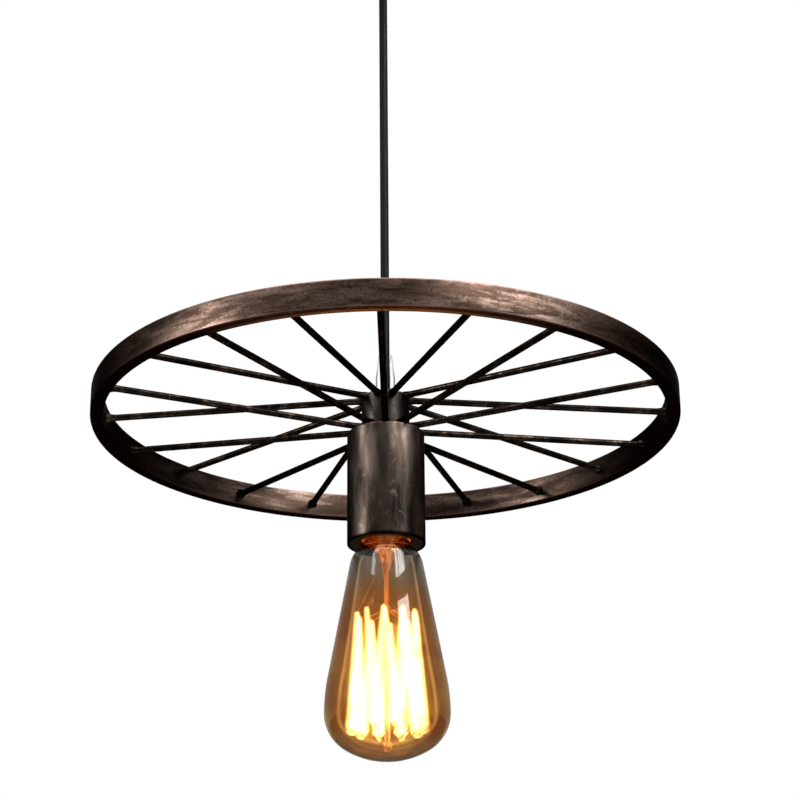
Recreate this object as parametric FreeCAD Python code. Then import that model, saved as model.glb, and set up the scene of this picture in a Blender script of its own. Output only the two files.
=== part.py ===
import FreeCAD, Part
import math
import os

# Wagon wheel pendant lamp: a ceiling fitting, a straight cord, a spoked steel wheel, a socket cup
# with its lampholder, and a squirrel cage bulb.  Millimetres.  The origin is the middle of the
# ceiling face, +Z is up, and the lamp hangs at negative z.

# ---- driving dimensions ----------------------------------------------------------------------
SEAM = 0.05                 # film of room between round faces that touch
RUNNING_FIT = 0.08          # radial room where one piece turns in another
CORD_ROOM = 0.3             # radial room round the cord in its grips

CEILING_TO_WHEEL = 323.5    # ceiling face down to the middle of the rim

CANOPY_RADIUS = 50.0
CANOPY_HEIGHT = 30.0
CANOPY_WALL = 1.2
CANOPY_EDGE_RADIUS = 4.0

BRACKET_WIDTH = 18.0
BRACKET_THICKNESS = 2.0
BRACKET_EAR_LENGTH = 20.0
BRACKET_EAR_ROOM = 0.3      # between an ear's corners and the canopy's wall
CEILING_SLOT_SPACING = 60.0
CEILING_SLOT_LENGTH = 12.0
CEILING_SLOT_WIDTH = 4.5

SIDE_SCREW_RADIUS = 2.0
SIDE_SCREW_LENGTH = 8.0
SIDE_SCREW_DROP = 13.0      # below the ceiling
SIDE_SCREW_HEAD_RADIUS = 3.8
SIDE_SCREW_HEAD_HEIGHT = 2.4
SCREW_HOLE_ROOM = 0.15      # radial room of a screw in a plain hole

CORD_RADIUS = 2.35
LEAD_RADIUS = 1.0
LEAD_COUNT = 3
LEAD_FIRST_TURN = 210.0     # degrees round the sheath's end to the first lead
SWING_LIMIT = 15.0          # degrees that the canopy grip's flared mouth leaves free
ROCK_LIMIT = 8.0            # and the hub grip's
BEND_SHARE = 0.45           # part of a straight run that a bend takes up at each end
DRIVER_SLOT = 0.6           # width and depth of a screw head's slot

GRIP_RADIUS = 6.0           # the canopy's cord grip
GRIP_LENGTH = 17.0
GRIP_STUB_RADIUS = 5.0
GRIP_FLARE_DEPTH = 5.0
GRIP_NUT_FLATS = 14.0
GRIP_NUT_HEIGHT = 3.0
GRIP_STUB_SPARE = 1.2       # thread that shows past the nut
GRIP_SCREW_RADIUS = 1.5
SHEATH_SPARE = 1.5          # sheath that shows past the stub

BLOCK_LENGTH = 25.0         # terminal block
BLOCK_WIDTH = 17.0
BLOCK_HEIGHT = 12.0
BLOCK_PITCH = 8.0
BARREL_RADIUS = 2.4
BARREL_BORE_RADIUS = 1.5
BARREL_END_ROOM = 1.0
CLAMP_SCREW_RADIUS = 1.5
CLAMP_SCREW_SPACING = 8.0
CLAMP_SCREW_DEPTH = 1.0     # heads sit this far inside the block
BLOCK_SCREW_RADIUS = 1.2
BLOCK_SCREW_HEAD_RADIUS = 2.2
BLOCK_SCREW_HEAD_HEIGHT = 1.6
LEAD_REACH = 3.0            # how far a lead runs into its clamp
LEAD_DROP_OUT = 13.5        # the leads turn up this far from the axis

RIM_RADIUS = 156.0
RIM_THICKNESS = 7.0
RIM_HEIGHT = 14.5
RIM_EDGE_RADIUS = 0.8
SPOKE_COUNT = 20
SPOKE_RADIUS = 1.75
SPOKE_HUB_LEVEL = 8.2       # above and below the middle of the rim
SPOKE_RIM_LEVEL = -0.5
SPOKE_END_ROOM = 0.02       # weld film at a spoke's two ends

HUB_RADIUS = 12.75
HUB_TOP = 10.0              # above the middle of the rim
HUB_BOTTOM = -11.0
HUB_EDGE = 0.6

NIPPLE_RADIUS = 5.0
NIPPLE_BORE_RADIUS = 3.3
NIPPLE_IN_HUB = 12.0

HUB_GRIP_RADIUS = 5.2
HUB_GRIP_HEIGHT = 24.5
HUB_GRIP_BARREL = 11.0
HUB_GRIP_SHOULDER = 17.0
HUB_GRIP_NECK_RADIUS = 3.7
HUB_GRIP_STUB_RADIUS = 4.0
HUB_GRIP_STUB_LENGTH = 8.0
HUB_GRIP_FLARE_DEPTH = 4.0
HUB_GRIP_SEAT_ROOM = 0.1

CUP_RADIUS = 20.5
CUP_HEIGHT = 61.6
CUP_WALL = 1.0
CUP_EDGE_RADIUS = 1.0
WASHER_RADIUS = 8.0
WASHER_THICKNESS = 0.8
CUP_NUT_HEIGHT = 3.0
BRIDGE_COLLAR_HEIGHT = 3.0
BRIDGE_COLLAR_RADIUS = 6.5
BRIDGE_THICKNESS = 1.5
BRIDGE_LENGTH = 36.0
BRIDGE_WIDTH = 26.0
BRIDGE_SCREW_SPREAD = 15.0  # from the axis
BRIDGE_SCREW_RADIUS = 1.4
BRIDGE_SCREW_LENGTH = 9.0
BRIDGE_SCREW_HEAD_RADIUS = 2.4
BRIDGE_SCREW_HEAD_HEIGHT = 1.5

HOLDER_CUP_ROOM = 0.2       # lampholder to cup wall
HOLDER_RECESS = 0.4         # lampholder's lower face inside the cup's edge
HOLDER_CAVITY_RADIUS = 12.5
HOLDER_CAVITY_SHARE = 0.5   # wiring cavity's part of the height above the screw shell
HOLDER_MOUTH_EDGE = 0.8
SHELL_RADIUS = 14.0         # screw shell's outside
SHELL_WALL = 0.5
SHELL_LENGTH = 23.0
SHELL_END_BORE_RADIUS = 8.5
CONTACT_WIDTH = 5.0
CONTACT_LENGTH = 14.0
CONTACT_THICKNESS = 0.5
CONTACT_FOOT = 2.3          # each end that lies flat
CONTACT_RISE = 2.2          # how far the spring's middle stands off its foot
TERMINAL_SIZE = 5.0
TERMINAL_SPREAD = 8.5
TERMINAL_BORE_RADIUS = 1.15
TERMINAL_SCREW_RADIUS = 1.2
TERMINAL_SCREW_LENGTH = 1.3

BULB_LENGTH = 141.5         # contact to the bottom of the glass
CAP_RECESS = 2.1            # cap's lower edge inside the cup's mouth
CAP_RADIUS = 13.1           # crest of the cap's screw thread
CAP_LENGTH = 26.5           # contact to the cap's edge
CAP_WALL = 0.4
CAP_CONTACT_RADIUS = 4.8
CAP_CONTACT_HEIGHT = 1.2
CAP_INSULATOR_HEIGHT = 3.6
CAP_INSULATOR_SKIRT = 2.0
GLASS_WALL = 0.8
GLASS_RADIUS = 32.0
GLASS_NECK_RADIUS = 12.3
GLASS_NECK_LENGTH = 9.0     # inside the cap
GLASS_THROAT = 3.2          # straight neck below the cap's edge
GLASS_SHOULDER_TURN = 60.0  # lean of the shoulder where it leaves the neck
GLASS_CONE_ANGLE = 10.7     # half angle of the long taper
GLASS_BELLY_RADIUS = 100.0
GLASS_DOME_HEIGHT = 24.0
GLASS_CROWN_RADIUS = 42.0
STEM_FLARE_RADIUS = 6.2
STEM_CONE_TOP = 5.0         # below the cap's edge
STEM_CONE_LENGTH = 13.0
STEM_ROD_RADIUS = 1.4
STEM_TUBE_RADIUS = 4.0
BEAD_RADIUS = 2.4
CAGE_RADIUS = 17.5
CAGE_TOP_RADIUS = 15.5
CAGE_TOP = 39.5             # below the cap's edge
CAGE_HEIGHT = 59.0
CAGE_LEGS = 20
CAGE_TURN = 230.0           # degrees round to the first lead-in wire
FILAMENT_RADIUS = 0.3
SUPPORT_RADIUS = 0.25
SUPPORT_STAR_DROP = 10.0    # the lower star's middle below the cage
LEAD_IN_RADIUS = 0.35
WIRE_END_ROOM = 0.1         # between a support wire's end and the filament

# ---- heights worked out from them ------------------------------------------------------------
wheel_z = -CEILING_TO_WHEEL
canopy_floor_z = -CANOPY_HEIGHT
grip_exit_z = canopy_floor_z - GRIP_LENGTH
swing_z = grip_exit_z + GRIP_FLARE_DEPTH
grip_nut_z = canopy_floor_z + CANOPY_WALL
stub_top_z = grip_nut_z + GRIP_NUT_HEIGHT + GRIP_STUB_SPARE
sheath_top_z = stub_top_z + SHEATH_SPARE
side_screw_z = -SIDE_SCREW_DROP
block_top_z = -BRACKET_THICKNESS
block_bottom_z = block_top_z - BLOCK_HEIGHT
barrel_z = block_top_z - BLOCK_HEIGHT / 2
ear_outer_x = math.sqrt((CANOPY_RADIUS - CANOPY_WALL - BRACKET_EAR_ROOM) ** 2 - (BRACKET_WIDTH / 2) ** 2)

hub_top_z = wheel_z + HUB_TOP
hub_bottom_z = wheel_z + HUB_BOTTOM
hub_grip_top_z = hub_top_z + HUB_GRIP_HEIGHT
rock_z = hub_grip_top_z - HUB_GRIP_FLARE_DEPTH
cup_roof_z = hub_bottom_z - CUP_WALL
cup_mouth_z = hub_bottom_z - CUP_HEIGHT
cup_nut_z = cup_roof_z - WASHER_THICKNESS - CUP_NUT_HEIGHT
bridge_collar_z = cup_nut_z - BRIDGE_COLLAR_HEIGHT
bridge_z = bridge_collar_z - BRIDGE_THICKNESS

cap_edge_z = cup_mouth_z + CAP_RECESS
contact_top_z = cap_edge_z + CAP_LENGTH
holder_top_z = bridge_z
holder_floor_z = contact_top_z + CONTACT_RISE + CONTACT_THICKNESS
holder_cavity_z = holder_top_z - (holder_top_z - holder_floor_z) * HOLDER_CAVITY_SHARE
holder_bottom_z = cup_mouth_z + HOLDER_RECESS

cap_shoulder_z = contact_top_z - CAP_CONTACT_HEIGHT - CAP_INSULATOR_HEIGHT
glass_bottom_z = contact_top_z - BULB_LENGTH
cage_top_z = cap_edge_z - CAGE_TOP
cage_bottom_z = cage_top_z - CAGE_HEIGHT
star_z = cage_bottom_z - SUPPORT_STAR_DROP
bead_z = cage_top_z + BEAD_RADIUS

cord_bore_radius = CORD_RADIUS + CORD_ROOM
terminal_half = TERMINAL_SIZE / 2


# ---- small helpers ---------------------------------------------------------------------------
def vec(x, y, z):
    return FreeCAD.Vector(x, y, z)


def rod(radius, start, end):
    """A round bar between two points."""
    run = end - start
    return Part.makeCylinder(radius, run.Length, start, run)


def disc(radius, low_z, high_z, x=0.0, y=0.0):
    """An upright round bar."""
    return rod(radius, vec(x, y, low_z), vec(x, y, high_z))


def tube(outer, inner, low_z, high_z):
    """An upright tube on the lamp's axis."""
    return disc(outer, low_z, high_z).cut(disc(inner, low_z, high_z))


def turned(points):
    """The solid that a closed outline of (radius, z) points makes round the lamp's axis."""
    corners = [vec(radius, 0, z) for radius, z in points]
    return turned_face(Part.makePolygon(corners + corners[:1]))


def turned_face(wire):
    """The solid that a closed wire in the XZ plane makes round the lamp's axis."""
    return Part.Face(wire).revolve(vec(0, 0, 0), vec(0, 0, 1), 360)


def block(size_x, size_y, low_z, high_z, x=0.0, y=0.0):
    """A box whose middle is at x, y."""
    return Part.makeBox(size_x, size_y, high_z - low_z, vec(x - size_x / 2, y - size_y / 2, low_z))


def hexagon(flats, low_z, high_z):
    """An upright hexagonal bar, measured across its flats."""
    corner = flats / math.sqrt(3)
    turns = [math.radians(60 * step) for step in range(6)]
    corners = [vec(corner * math.cos(turn), corner * math.sin(turn), low_z) for turn in turns]
    face = Part.Face(Part.makePolygon(corners + corners[:1]))
    return face.extrude(vec(0, 0, high_z - low_z))


def slot(x, length, width, low_z, high_z):
    """A round-ended slot along X."""
    reach = (length - width) / 2
    cutter = block(2 * reach, width, low_z, high_z, x)
    for end in (x - reach, x + reach):
        cutter = cutter.fuse(disc(width / 2, low_z, high_z, end))
    return cutter


def slotted(screw, top, direction):
    """A screw with its driver slot; top is the middle of its head's face, direction points out."""
    across = vec(direction.y, direction.z, direction.x)
    side = across.cross(direction)
    length = screw.BoundBox.DiagonalLength
    corner = top - direction * DRIVER_SLOT - across * length - side * (DRIVER_SLOT / 2)
    frame = FreeCAD.Matrix(
        side.x, across.x, direction.x, corner.x,
        side.y, across.y, direction.y, corner.y,
        side.z, across.z, direction.z, corner.z,
        0, 0, 0, 1,
    )
    return screw.cut(Part.makeBox(DRIVER_SLOT, 2 * length, length).transformed(frame))


def rounded_path(name, points):
    """A wire of straight runs joined by tangent arcs, each as large as its two runs allow."""
    edges = []
    start = points[0]
    radii = []
    for before, corner, after in zip(points, points[1:], points[2:]):
        back = (before - corner).normalize()
        ahead = (after - corner).normalize()
        half_turn = (math.pi - back.getAngle(ahead)) / 2
        reach = BEND_SHARE * min((before - corner).Length, (after - corner).Length)
        radius = reach / math.tan(half_turn)
        middle = corner + (back + ahead).normalize() * (radius / math.cos(half_turn) - radius)
        first = corner + back * reach
        last = corner + ahead * reach
        edges.append(Part.LineSegment(start, first).toShape())
        edges.append(Part.Arc(first, middle, last).toShape())
        start = last
        radii.append(round(radius, 1))
    edges.append(Part.LineSegment(start, points[-1]).toShape())
    print(name, "bend radii", radii)
    return Part.Wire(edges)


def swept(name, points, radius):
    """A round wire along straight runs and tangent arcs."""
    path = rounded_path(name, points)
    profile = Part.Wire(Part.makeCircle(radius, points[0], points[1] - points[0]))
    return path.makePipeShell([profile], True, False)


def save(name, shapes):
    """Write one named piece, or a group of like pieces, to its own file."""
    solids = [solid for shape in shapes for solid in shape.Solids]
    for solid in solids:
        if not solid.isValid():
            raise ValueError(name + " has a solid that is not valid")
    whole = solids[0] if len(solids) == 1 else Part.makeCompound(solids)
    whole.exportStep("parts/" + name + ".step")


# ---- ceiling fitting -------------------------------------------------------------------------
def canopy_cup():
    cup = disc(CANOPY_RADIUS, canopy_floor_z, 0)
    cup = cup.makeFillet(CANOPY_EDGE_RADIUS, [level_edge(cup, CANOPY_RADIUS, canopy_floor_z)])
    inner_radius = CANOPY_RADIUS - CANOPY_WALL
    hollow = disc(inner_radius, grip_nut_z, 0)
    inner_edge = level_edge(hollow, inner_radius, grip_nut_z)
    hollow = hollow.makeFillet(CANOPY_EDGE_RADIUS - CANOPY_WALL, [inner_edge])
    cup = cup.cut(hollow)
    cup = cup.cut(disc(GRIP_STUB_RADIUS + SCREW_HOLE_ROOM, canopy_floor_z, 0))
    hole_radius = SIDE_SCREW_RADIUS + SCREW_HOLE_ROOM
    reach = vec(CANOPY_RADIUS, 0, 0)
    level = vec(0, 0, side_screw_z)
    return cup.cut(rod(hole_radius, level - reach, level + reach))


def level_edge(shape, radius, z):
    """The round edge of that radius at that height."""
    for edge in shape.Edges:
        flat = edge.BoundBox.ZLength < SEAM
        if flat and abs(edge.BoundBox.ZMin - z) < SEAM and abs(edge.BoundBox.XMax - radius) < SEAM:
            return edge
    raise ValueError("no round edge there")


def ceiling_bracket():
    strip = block(2 * ear_outer_x, BRACKET_WIDTH, -BRACKET_THICKNESS, 0)
    for side in (-1, 1):
        ear_x = side * (ear_outer_x - BRACKET_THICKNESS / 2)
        ear = block(BRACKET_THICKNESS, BRACKET_WIDTH, -BRACKET_EAR_LENGTH, 0, ear_x)
        strip = strip.fuse(ear)
        slot_x = side * CEILING_SLOT_SPACING / 2
        strip = strip.cut(slot(slot_x, CEILING_SLOT_LENGTH, CEILING_SLOT_WIDTH, -BRACKET_THICKNESS, 0))
    level = vec(0, 0, side_screw_z)
    reach = vec(ear_outer_x, 0, 0)
    strip = strip.cut(rod(SIDE_SCREW_RADIUS + SEAM, level - reach, level + reach))
    for x in (-BLOCK_PITCH / 2, BLOCK_PITCH / 2):
        strip = strip.cut(disc(BLOCK_SCREW_RADIUS + SEAM, -BRACKET_THICKNESS, 0, x))
    return strip.removeSplitter()


def canopy_side_screws():
    screws = []
    for side in (-1, 1):
        outward = vec(side, 0, 0)
        seat = vec(side * (CANOPY_RADIUS + SEAM), 0, side_screw_z)
        shank = rod(SIDE_SCREW_RADIUS, seat - outward * SIDE_SCREW_LENGTH, seat)
        top = seat + outward * SIDE_SCREW_HEAD_HEIGHT
        head = rod(SIDE_SCREW_HEAD_RADIUS, seat, top)
        crown = [edge for edge in head.Edges if abs(abs(edge.CenterOfMass.x) - abs(top.x)) < SEAM]
        head = head.makeFillet(SIDE_SCREW_HEAD_HEIGHT / 2, crown)
        screws.append(slotted(head.fuse(shank), top, outward))
    return screws


def flared_bore(mouth_z, pivot_z, inner_z, limit):
    """The cord's way through a grip: straight to the pivot, then wide enough to tip to its limit."""
    straight = disc(cord_bore_radius, min(pivot_z, inner_z), max(pivot_z, inner_z))
    depth = abs(pivot_z - mouth_z)
    lean = math.radians(limit)
    mouth = depth * math.tan(lean) + CORD_RADIUS / math.cos(lean) + CORD_ROOM
    axis = vec(0, 0, mouth_z - pivot_z)
    return straight.fuse(Part.makeCone(cord_bore_radius, mouth, depth, vec(0, 0, pivot_z), axis))


def canopy_cord_grip():
    collar = disc(GRIP_RADIUS, grip_exit_z, canopy_floor_z)
    collar = collar.makeFillet(CORD_ROOM, [level_edge(collar, GRIP_RADIUS, grip_exit_z)])
    grip = collar.fuse(disc(GRIP_STUB_RADIUS, canopy_floor_z, stub_top_z))
    grip = grip.cut(flared_bore(grip_exit_z, swing_z, stub_top_z, SWING_LIMIT))
    screw_way = rod(GRIP_SCREW_RADIUS + SEAM, vec(0, 0, grip_screw_z()), vec(0, -GRIP_RADIUS, grip_screw_z()))
    return grip.cut(screw_way)


def grip_screw_z():
    """Height of the nylon screw that pinches the cord in the canopy's grip."""
    return (canopy_floor_z + swing_z + CORD_RADIUS) / 2


def canopy_grip_screw():
    end = vec(0, -GRIP_RADIUS, grip_screw_z())
    screw = rod(GRIP_SCREW_RADIUS, vec(0, -CORD_RADIUS - SEAM, grip_screw_z()), end)
    return slotted(screw, end, vec(0, -1, 0))


def canopy_grip_nut():
    nut = hexagon(GRIP_NUT_FLATS, grip_nut_z, grip_nut_z + GRIP_NUT_HEIGHT)
    return nut.cut(disc(GRIP_STUB_RADIUS + SEAM, grip_nut_z, grip_nut_z + GRIP_NUT_HEIGHT))


def cord_tail_ceiling():
    """The cord's clamped end, from just above its swing point to the stripped leads."""
    return disc(CORD_RADIUS, swing_z + CORD_RADIUS + CORD_ROOM, sheath_top_z)


def pole_x(pole):
    return (pole - (LEAD_COUNT - 1) / 2) * BLOCK_PITCH


def terminal_block():
    body = block(BLOCK_LENGTH, BLOCK_WIDTH, block_bottom_z, block_top_z)
    half = vec(0, BLOCK_WIDTH / 2, 0)
    for pole in range(LEAD_COUNT):
        middle = vec(pole_x(pole), 0, barrel_z)
        body = body.cut(rod(BARREL_RADIUS + SEAM, middle - half, middle + half))
        for side in (-1, 1):
            screw_y = side * CLAMP_SCREW_SPACING / 2
            hole = disc(CLAMP_SCREW_RADIUS + SCREW_HOLE_ROOM, block_bottom_z, barrel_z, middle.x, screw_y)
            body = body.cut(hole)
    for x in (-BLOCK_PITCH / 2, BLOCK_PITCH / 2):
        body = body.cut(disc(BLOCK_SCREW_RADIUS + SEAM, block_bottom_z, block_top_z, x))
        head_z = block_bottom_z + BLOCK_SCREW_HEAD_HEIGHT
        body = body.cut(disc(BLOCK_SCREW_HEAD_RADIUS + SCREW_HOLE_ROOM, block_bottom_z, head_z, x))
    return body


def terminal_barrels():
    half = vec(0, BLOCK_WIDTH / 2 - BARREL_END_ROOM, 0)
    barrels = []
    for pole in range(LEAD_COUNT):
        middle = vec(pole_x(pole), 0, barrel_z)
        barrel = rod(BARREL_RADIUS, middle - half, middle + half)
        barrel = barrel.cut(rod(BARREL_BORE_RADIUS, middle - half, middle + half))
        for side in (-1, 1):
            screw_y = side * CLAMP_SCREW_SPACING / 2
            hole = disc(CLAMP_SCREW_RADIUS + SEAM, block_bottom_z, barrel_z, middle.x, screw_y)
            barrel = barrel.cut(hole)
        barrels.append(barrel)
    return barrels


def terminal_block_screws():
    screws = []
    foot_z = block_bottom_z + CLAMP_SCREW_DEPTH
    tip_z = barrel_z - LEAD_RADIUS - SEAM
    for pole in range(LEAD_COUNT):
        for side in (-1, 1):
            screw = disc(CLAMP_SCREW_RADIUS, foot_z, tip_z, pole_x(pole), side * CLAMP_SCREW_SPACING / 2)
            top = vec(pole_x(pole), side * CLAMP_SCREW_SPACING / 2, foot_z)
            screws.append(slotted(screw, top, vec(0, 0, -1)))
    return screws


def terminal_block_fixings():
    screws = []
    head_z = block_bottom_z + BLOCK_SCREW_HEAD_HEIGHT
    for x in (-BLOCK_PITCH / 2, BLOCK_PITCH / 2):
        screw = disc(BLOCK_SCREW_HEAD_RADIUS, block_bottom_z, head_z, x)
        screw = screw.fuse(disc(BLOCK_SCREW_RADIUS, head_z, 0, x))
        screws.append(slotted(screw, vec(x, 0, block_bottom_z), vec(0, 0, -1)))
    return screws


def lead_start(pole):
    """Where a lead leaves the sheath: left and right in front, the middle pole's at the back."""
    ring = 2 * LEAD_RADIUS / math.sqrt(3) + SEAM
    turn = math.radians(LEAD_FIRST_TURN - 360 / LEAD_COUNT * pole)
    return ring * math.cos(turn), ring * math.sin(turn)


def ceiling_lead(name, pole):
    """From the sheath out under the block, up, and back into its pole; the rear lead goes over."""
    x, y = lead_start(pole)
    turn_z = (block_bottom_z + sheath_top_z) / 2 - LEAD_RADIUS
    if y > 0:
        turn_z += 2 * LEAD_RADIUS + CORD_ROOM
    entry_y = -BLOCK_WIDTH / 2 + BARREL_END_ROOM + LEAD_REACH
    points = [
        vec(x, y, sheath_top_z),
        vec(x, y, turn_z),
        vec(pole_x(pole), -LEAD_DROP_OUT, turn_z),
        vec(pole_x(pole), -LEAD_DROP_OUT, barrel_z),
        vec(pole_x(pole), entry_y, barrel_z),
    ]
    return swept(name, points, LEAD_RADIUS)


# ---- cord ------------------------------------------------------------------------------------
def suspension_cord():
    """The straight cord between its two grips, round ended where it swings and rocks."""
    cord = disc(CORD_RADIUS, rock_z, swing_z)
    for end_z in (rock_z, swing_z):
        cord = cord.fuse(Part.makeSphere(CORD_RADIUS, vec(0, 0, end_z)))
    return cord.removeSplitter()


# ---- wheel -----------------------------------------------------------------------------------
def rim():
    low_z = wheel_z - RIM_HEIGHT / 2
    hoop = tube(RIM_RADIUS, RIM_RADIUS - RIM_THICKNESS, low_z, low_z + RIM_HEIGHT)
    corners = [edge for edge in hoop.Edges if edge.BoundBox.ZLength < SEAM]
    return hoop.makeFillet(RIM_EDGE_RADIUS, corners)


def spoke(index):
    """One spoke of the wheel, high and low by turns at the hub, cut to the rim and the hub."""
    turn = math.radians(360 * index / SPOKE_COUNT - 90)
    side = 1 if index % 2 else -1
    inner = HUB_RADIUS - SPOKE_RADIUS
    outer = RIM_RADIUS
    start = vec(inner * math.cos(turn), inner * math.sin(turn), wheel_z + side * SPOKE_HUB_LEVEL)
    end = vec(outer * math.cos(turn), outer * math.sin(turn), wheel_z + SPOKE_RIM_LEVEL)
    rim_face = RIM_RADIUS - RIM_THICKNESS - SPOKE_END_ROOM
    hub_face = HUB_RADIUS + SPOKE_END_ROOM
    space = tube(rim_face, hub_face, wheel_z - RIM_HEIGHT, wheel_z + RIM_HEIGHT)
    return rod(SPOKE_RADIUS, start, end).common(space)


def hub():
    grip_bore = HUB_GRIP_STUB_RADIUS + RUNNING_FIT
    nipple_bore = NIPPLE_RADIUS + SEAM
    step_z = hub_bottom_z + NIPPLE_IN_HUB
    return turned([
        (nipple_bore, hub_bottom_z),
        (HUB_RADIUS - HUB_EDGE, hub_bottom_z),
        (HUB_RADIUS, hub_bottom_z + HUB_EDGE),
        (HUB_RADIUS, hub_top_z - HUB_EDGE),
        (HUB_RADIUS - HUB_EDGE, hub_top_z),
        (grip_bore, hub_top_z),
        (grip_bore, step_z),
        (nipple_bore, step_z),
    ])


def hub_cord_grip():
    """The clear grip on the hub: a stub, a round barrel, a shoulder and a slim neck."""
    seat_z = hub_top_z + HUB_GRIP_SEAT_ROOM
    barrel_top_z = hub_top_z + HUB_GRIP_BARREL
    shoulder_z = hub_top_z + HUB_GRIP_SHOULDER
    shoulder_radius = (HUB_GRIP_RADIUS + HUB_GRIP_NECK_RADIUS) / 2
    body = turned([
        (0, hub_top_z - HUB_GRIP_STUB_LENGTH),
        (HUB_GRIP_STUB_RADIUS, hub_top_z - HUB_GRIP_STUB_LENGTH),
        (HUB_GRIP_STUB_RADIUS, seat_z),
        (HUB_GRIP_RADIUS, seat_z),
        (HUB_GRIP_RADIUS, barrel_top_z),
        (shoulder_radius, shoulder_z),
        (HUB_GRIP_NECK_RADIUS, hub_grip_top_z),
        (0, hub_grip_top_z),
    ])
    return body.cut(flared_bore(hub_grip_top_z, rock_z, hub_top_z - HUB_GRIP_STUB_LENGTH, ROCK_LIMIT))


def cord_tail_hub():
    """The cord's lower end, from just below its rocking point to the stripped leads."""
    return disc(CORD_RADIUS, bridge_z, rock_z - CORD_RADIUS - CORD_ROOM)


def threaded_nipple():
    top_z = hub_bottom_z + NIPPLE_IN_HUB - SEAM
    return tube(NIPPLE_RADIUS, NIPPLE_BORE_RADIUS, bridge_z, top_z)


def spring_washer():
    inner = NIPPLE_RADIUS + SCREW_HOLE_ROOM
    return tube(WASHER_RADIUS, inner, cup_roof_z - WASHER_THICKNESS, cup_roof_z)


def cup_nut():
    nut = hexagon(GRIP_NUT_FLATS, cup_nut_z, cup_nut_z + CUP_NUT_HEIGHT)
    return nut.cut(disc(NIPPLE_RADIUS + SEAM, cup_nut_z, cup_nut_z + CUP_NUT_HEIGHT))


def socket_cup():
    cup = disc(CUP_RADIUS, cup_mouth_z, hub_bottom_z)
    rims = [edge for edge in cup.Edges if edge.BoundBox.ZLength < SEAM]
    cup = cup.makeFillet(CUP_EDGE_RADIUS, [edge for edge in rims if edge.BoundBox.ZMin > cup_roof_z])
    cup = cup.cut(disc(CUP_RADIUS - CUP_WALL, cup_mouth_z, cup_roof_z))
    return cup.cut(disc(NIPPLE_RADIUS + SCREW_HOLE_ROOM, cup_roof_z, hub_bottom_z))


def lampholder_bridge():
    bridge = block(BRIDGE_LENGTH, BRIDGE_WIDTH, bridge_z, bridge_collar_z)
    inside = disc(CUP_RADIUS - CUP_WALL - HOLDER_CUP_ROOM, bridge_z, bridge_collar_z)
    bridge = bridge.common(inside)
    bridge = bridge.fuse(disc(BRIDGE_COLLAR_RADIUS, bridge_collar_z, cup_nut_z))
    bridge = bridge.cut(disc(NIPPLE_RADIUS + SEAM, bridge_z, cup_nut_z))
    for x in (-BRIDGE_SCREW_SPREAD, BRIDGE_SCREW_SPREAD):
        hole = disc(BRIDGE_SCREW_RADIUS + SCREW_HOLE_ROOM, bridge_z, bridge_collar_z, x)
        bridge = bridge.cut(hole)
    earth_hole = disc(TERMINAL_SCREW_RADIUS + SEAM, bridge_z, bridge_collar_z, 0, TERMINAL_SPREAD)
    return bridge.cut(earth_hole).removeSplitter()


def lampholder_bridge_screws():
    screws = []
    for x in (-BRIDGE_SCREW_SPREAD, BRIDGE_SCREW_SPREAD):
        top_z = bridge_collar_z + BRIDGE_SCREW_HEAD_HEIGHT
        head = disc(BRIDGE_SCREW_HEAD_RADIUS, bridge_collar_z, top_z, x)
        shank = disc(BRIDGE_SCREW_RADIUS, bridge_collar_z - BRIDGE_SCREW_LENGTH, bridge_collar_z, x)
        screws.append(slotted(head.fuse(shank), vec(x, 0, top_z), vec(0, 0, 1)))
    return screws


def lampholder_body():
    outer = CUP_RADIUS - CUP_WALL - HOLDER_CUP_ROOM
    bore = SHELL_RADIUS + SEAM
    body = turned([
        (HOLDER_CAVITY_RADIUS, holder_top_z),
        (HOLDER_CAVITY_RADIUS, holder_cavity_z),
        (0, holder_cavity_z),
        (0, holder_floor_z),
        (bore, holder_floor_z),
        (bore, holder_bottom_z + HOLDER_MOUTH_EDGE),
        (bore + HOLDER_MOUTH_EDGE, holder_bottom_z),
        (outer, holder_bottom_z),
        (outer, holder_top_z),
    ])
    for x in (-BRIDGE_SCREW_SPREAD, BRIDGE_SCREW_SPREAD):
        hole_z = bridge_collar_z - BRIDGE_SCREW_LENGTH
        body = body.cut(disc(BRIDGE_SCREW_RADIUS + SEAM, hole_z, holder_top_z, x))
    return body


def screw_shell():
    high_z = holder_floor_z - SEAM
    low_z = high_z - SHELL_LENGTH
    shell = tube(SHELL_RADIUS, SHELL_RADIUS - SHELL_WALL, low_z, high_z)
    return shell.fuse(tube(SHELL_RADIUS, SHELL_END_BORE_RADIUS, high_z - SHELL_WALL, high_z)).removeSplitter()


def centre_contact():
    """A bowed brass strip: its feet lie on the lampholder's floor, its middle meets the bulb."""
    half = CONTACT_LENGTH / 2
    foot = half - CONTACT_FOOT
    top_z = holder_floor_z - SEAM
    crown_z = top_z - CONTACT_RISE
    outline = [
        (-half, top_z),
        (-foot, top_z),
        (-CONTACT_WIDTH / 2, crown_z),
        (CONTACT_WIDTH / 2, crown_z),
        (foot, top_z),
        (half, top_z),
    ]
    upper = [vec(x, -CONTACT_WIDTH / 2, z) for x, z in outline]
    lower = [point - vec(0, 0, CONTACT_THICKNESS - SEAM) for point in reversed(upper)]
    face = Part.Face(Part.makePolygon(upper + lower + upper[:1]))
    return face.extrude(vec(0, CONTACT_WIDTH, 0))


def terminal_places():
    """Middle of each lampholder terminal and the way its lead comes in: live, neutral, earth."""
    floor_middle = holder_cavity_z + terminal_half
    roof_middle = bridge_z - terminal_half
    return [
        (vec(-TERMINAL_SPREAD, 0, floor_middle), vec(1, 0, 0)),
        (vec(TERMINAL_SPREAD, 0, floor_middle), vec(-1, 0, 0)),
        (vec(0, TERMINAL_SPREAD, roof_middle), vec(0, -1, 0)),
    ]


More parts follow.
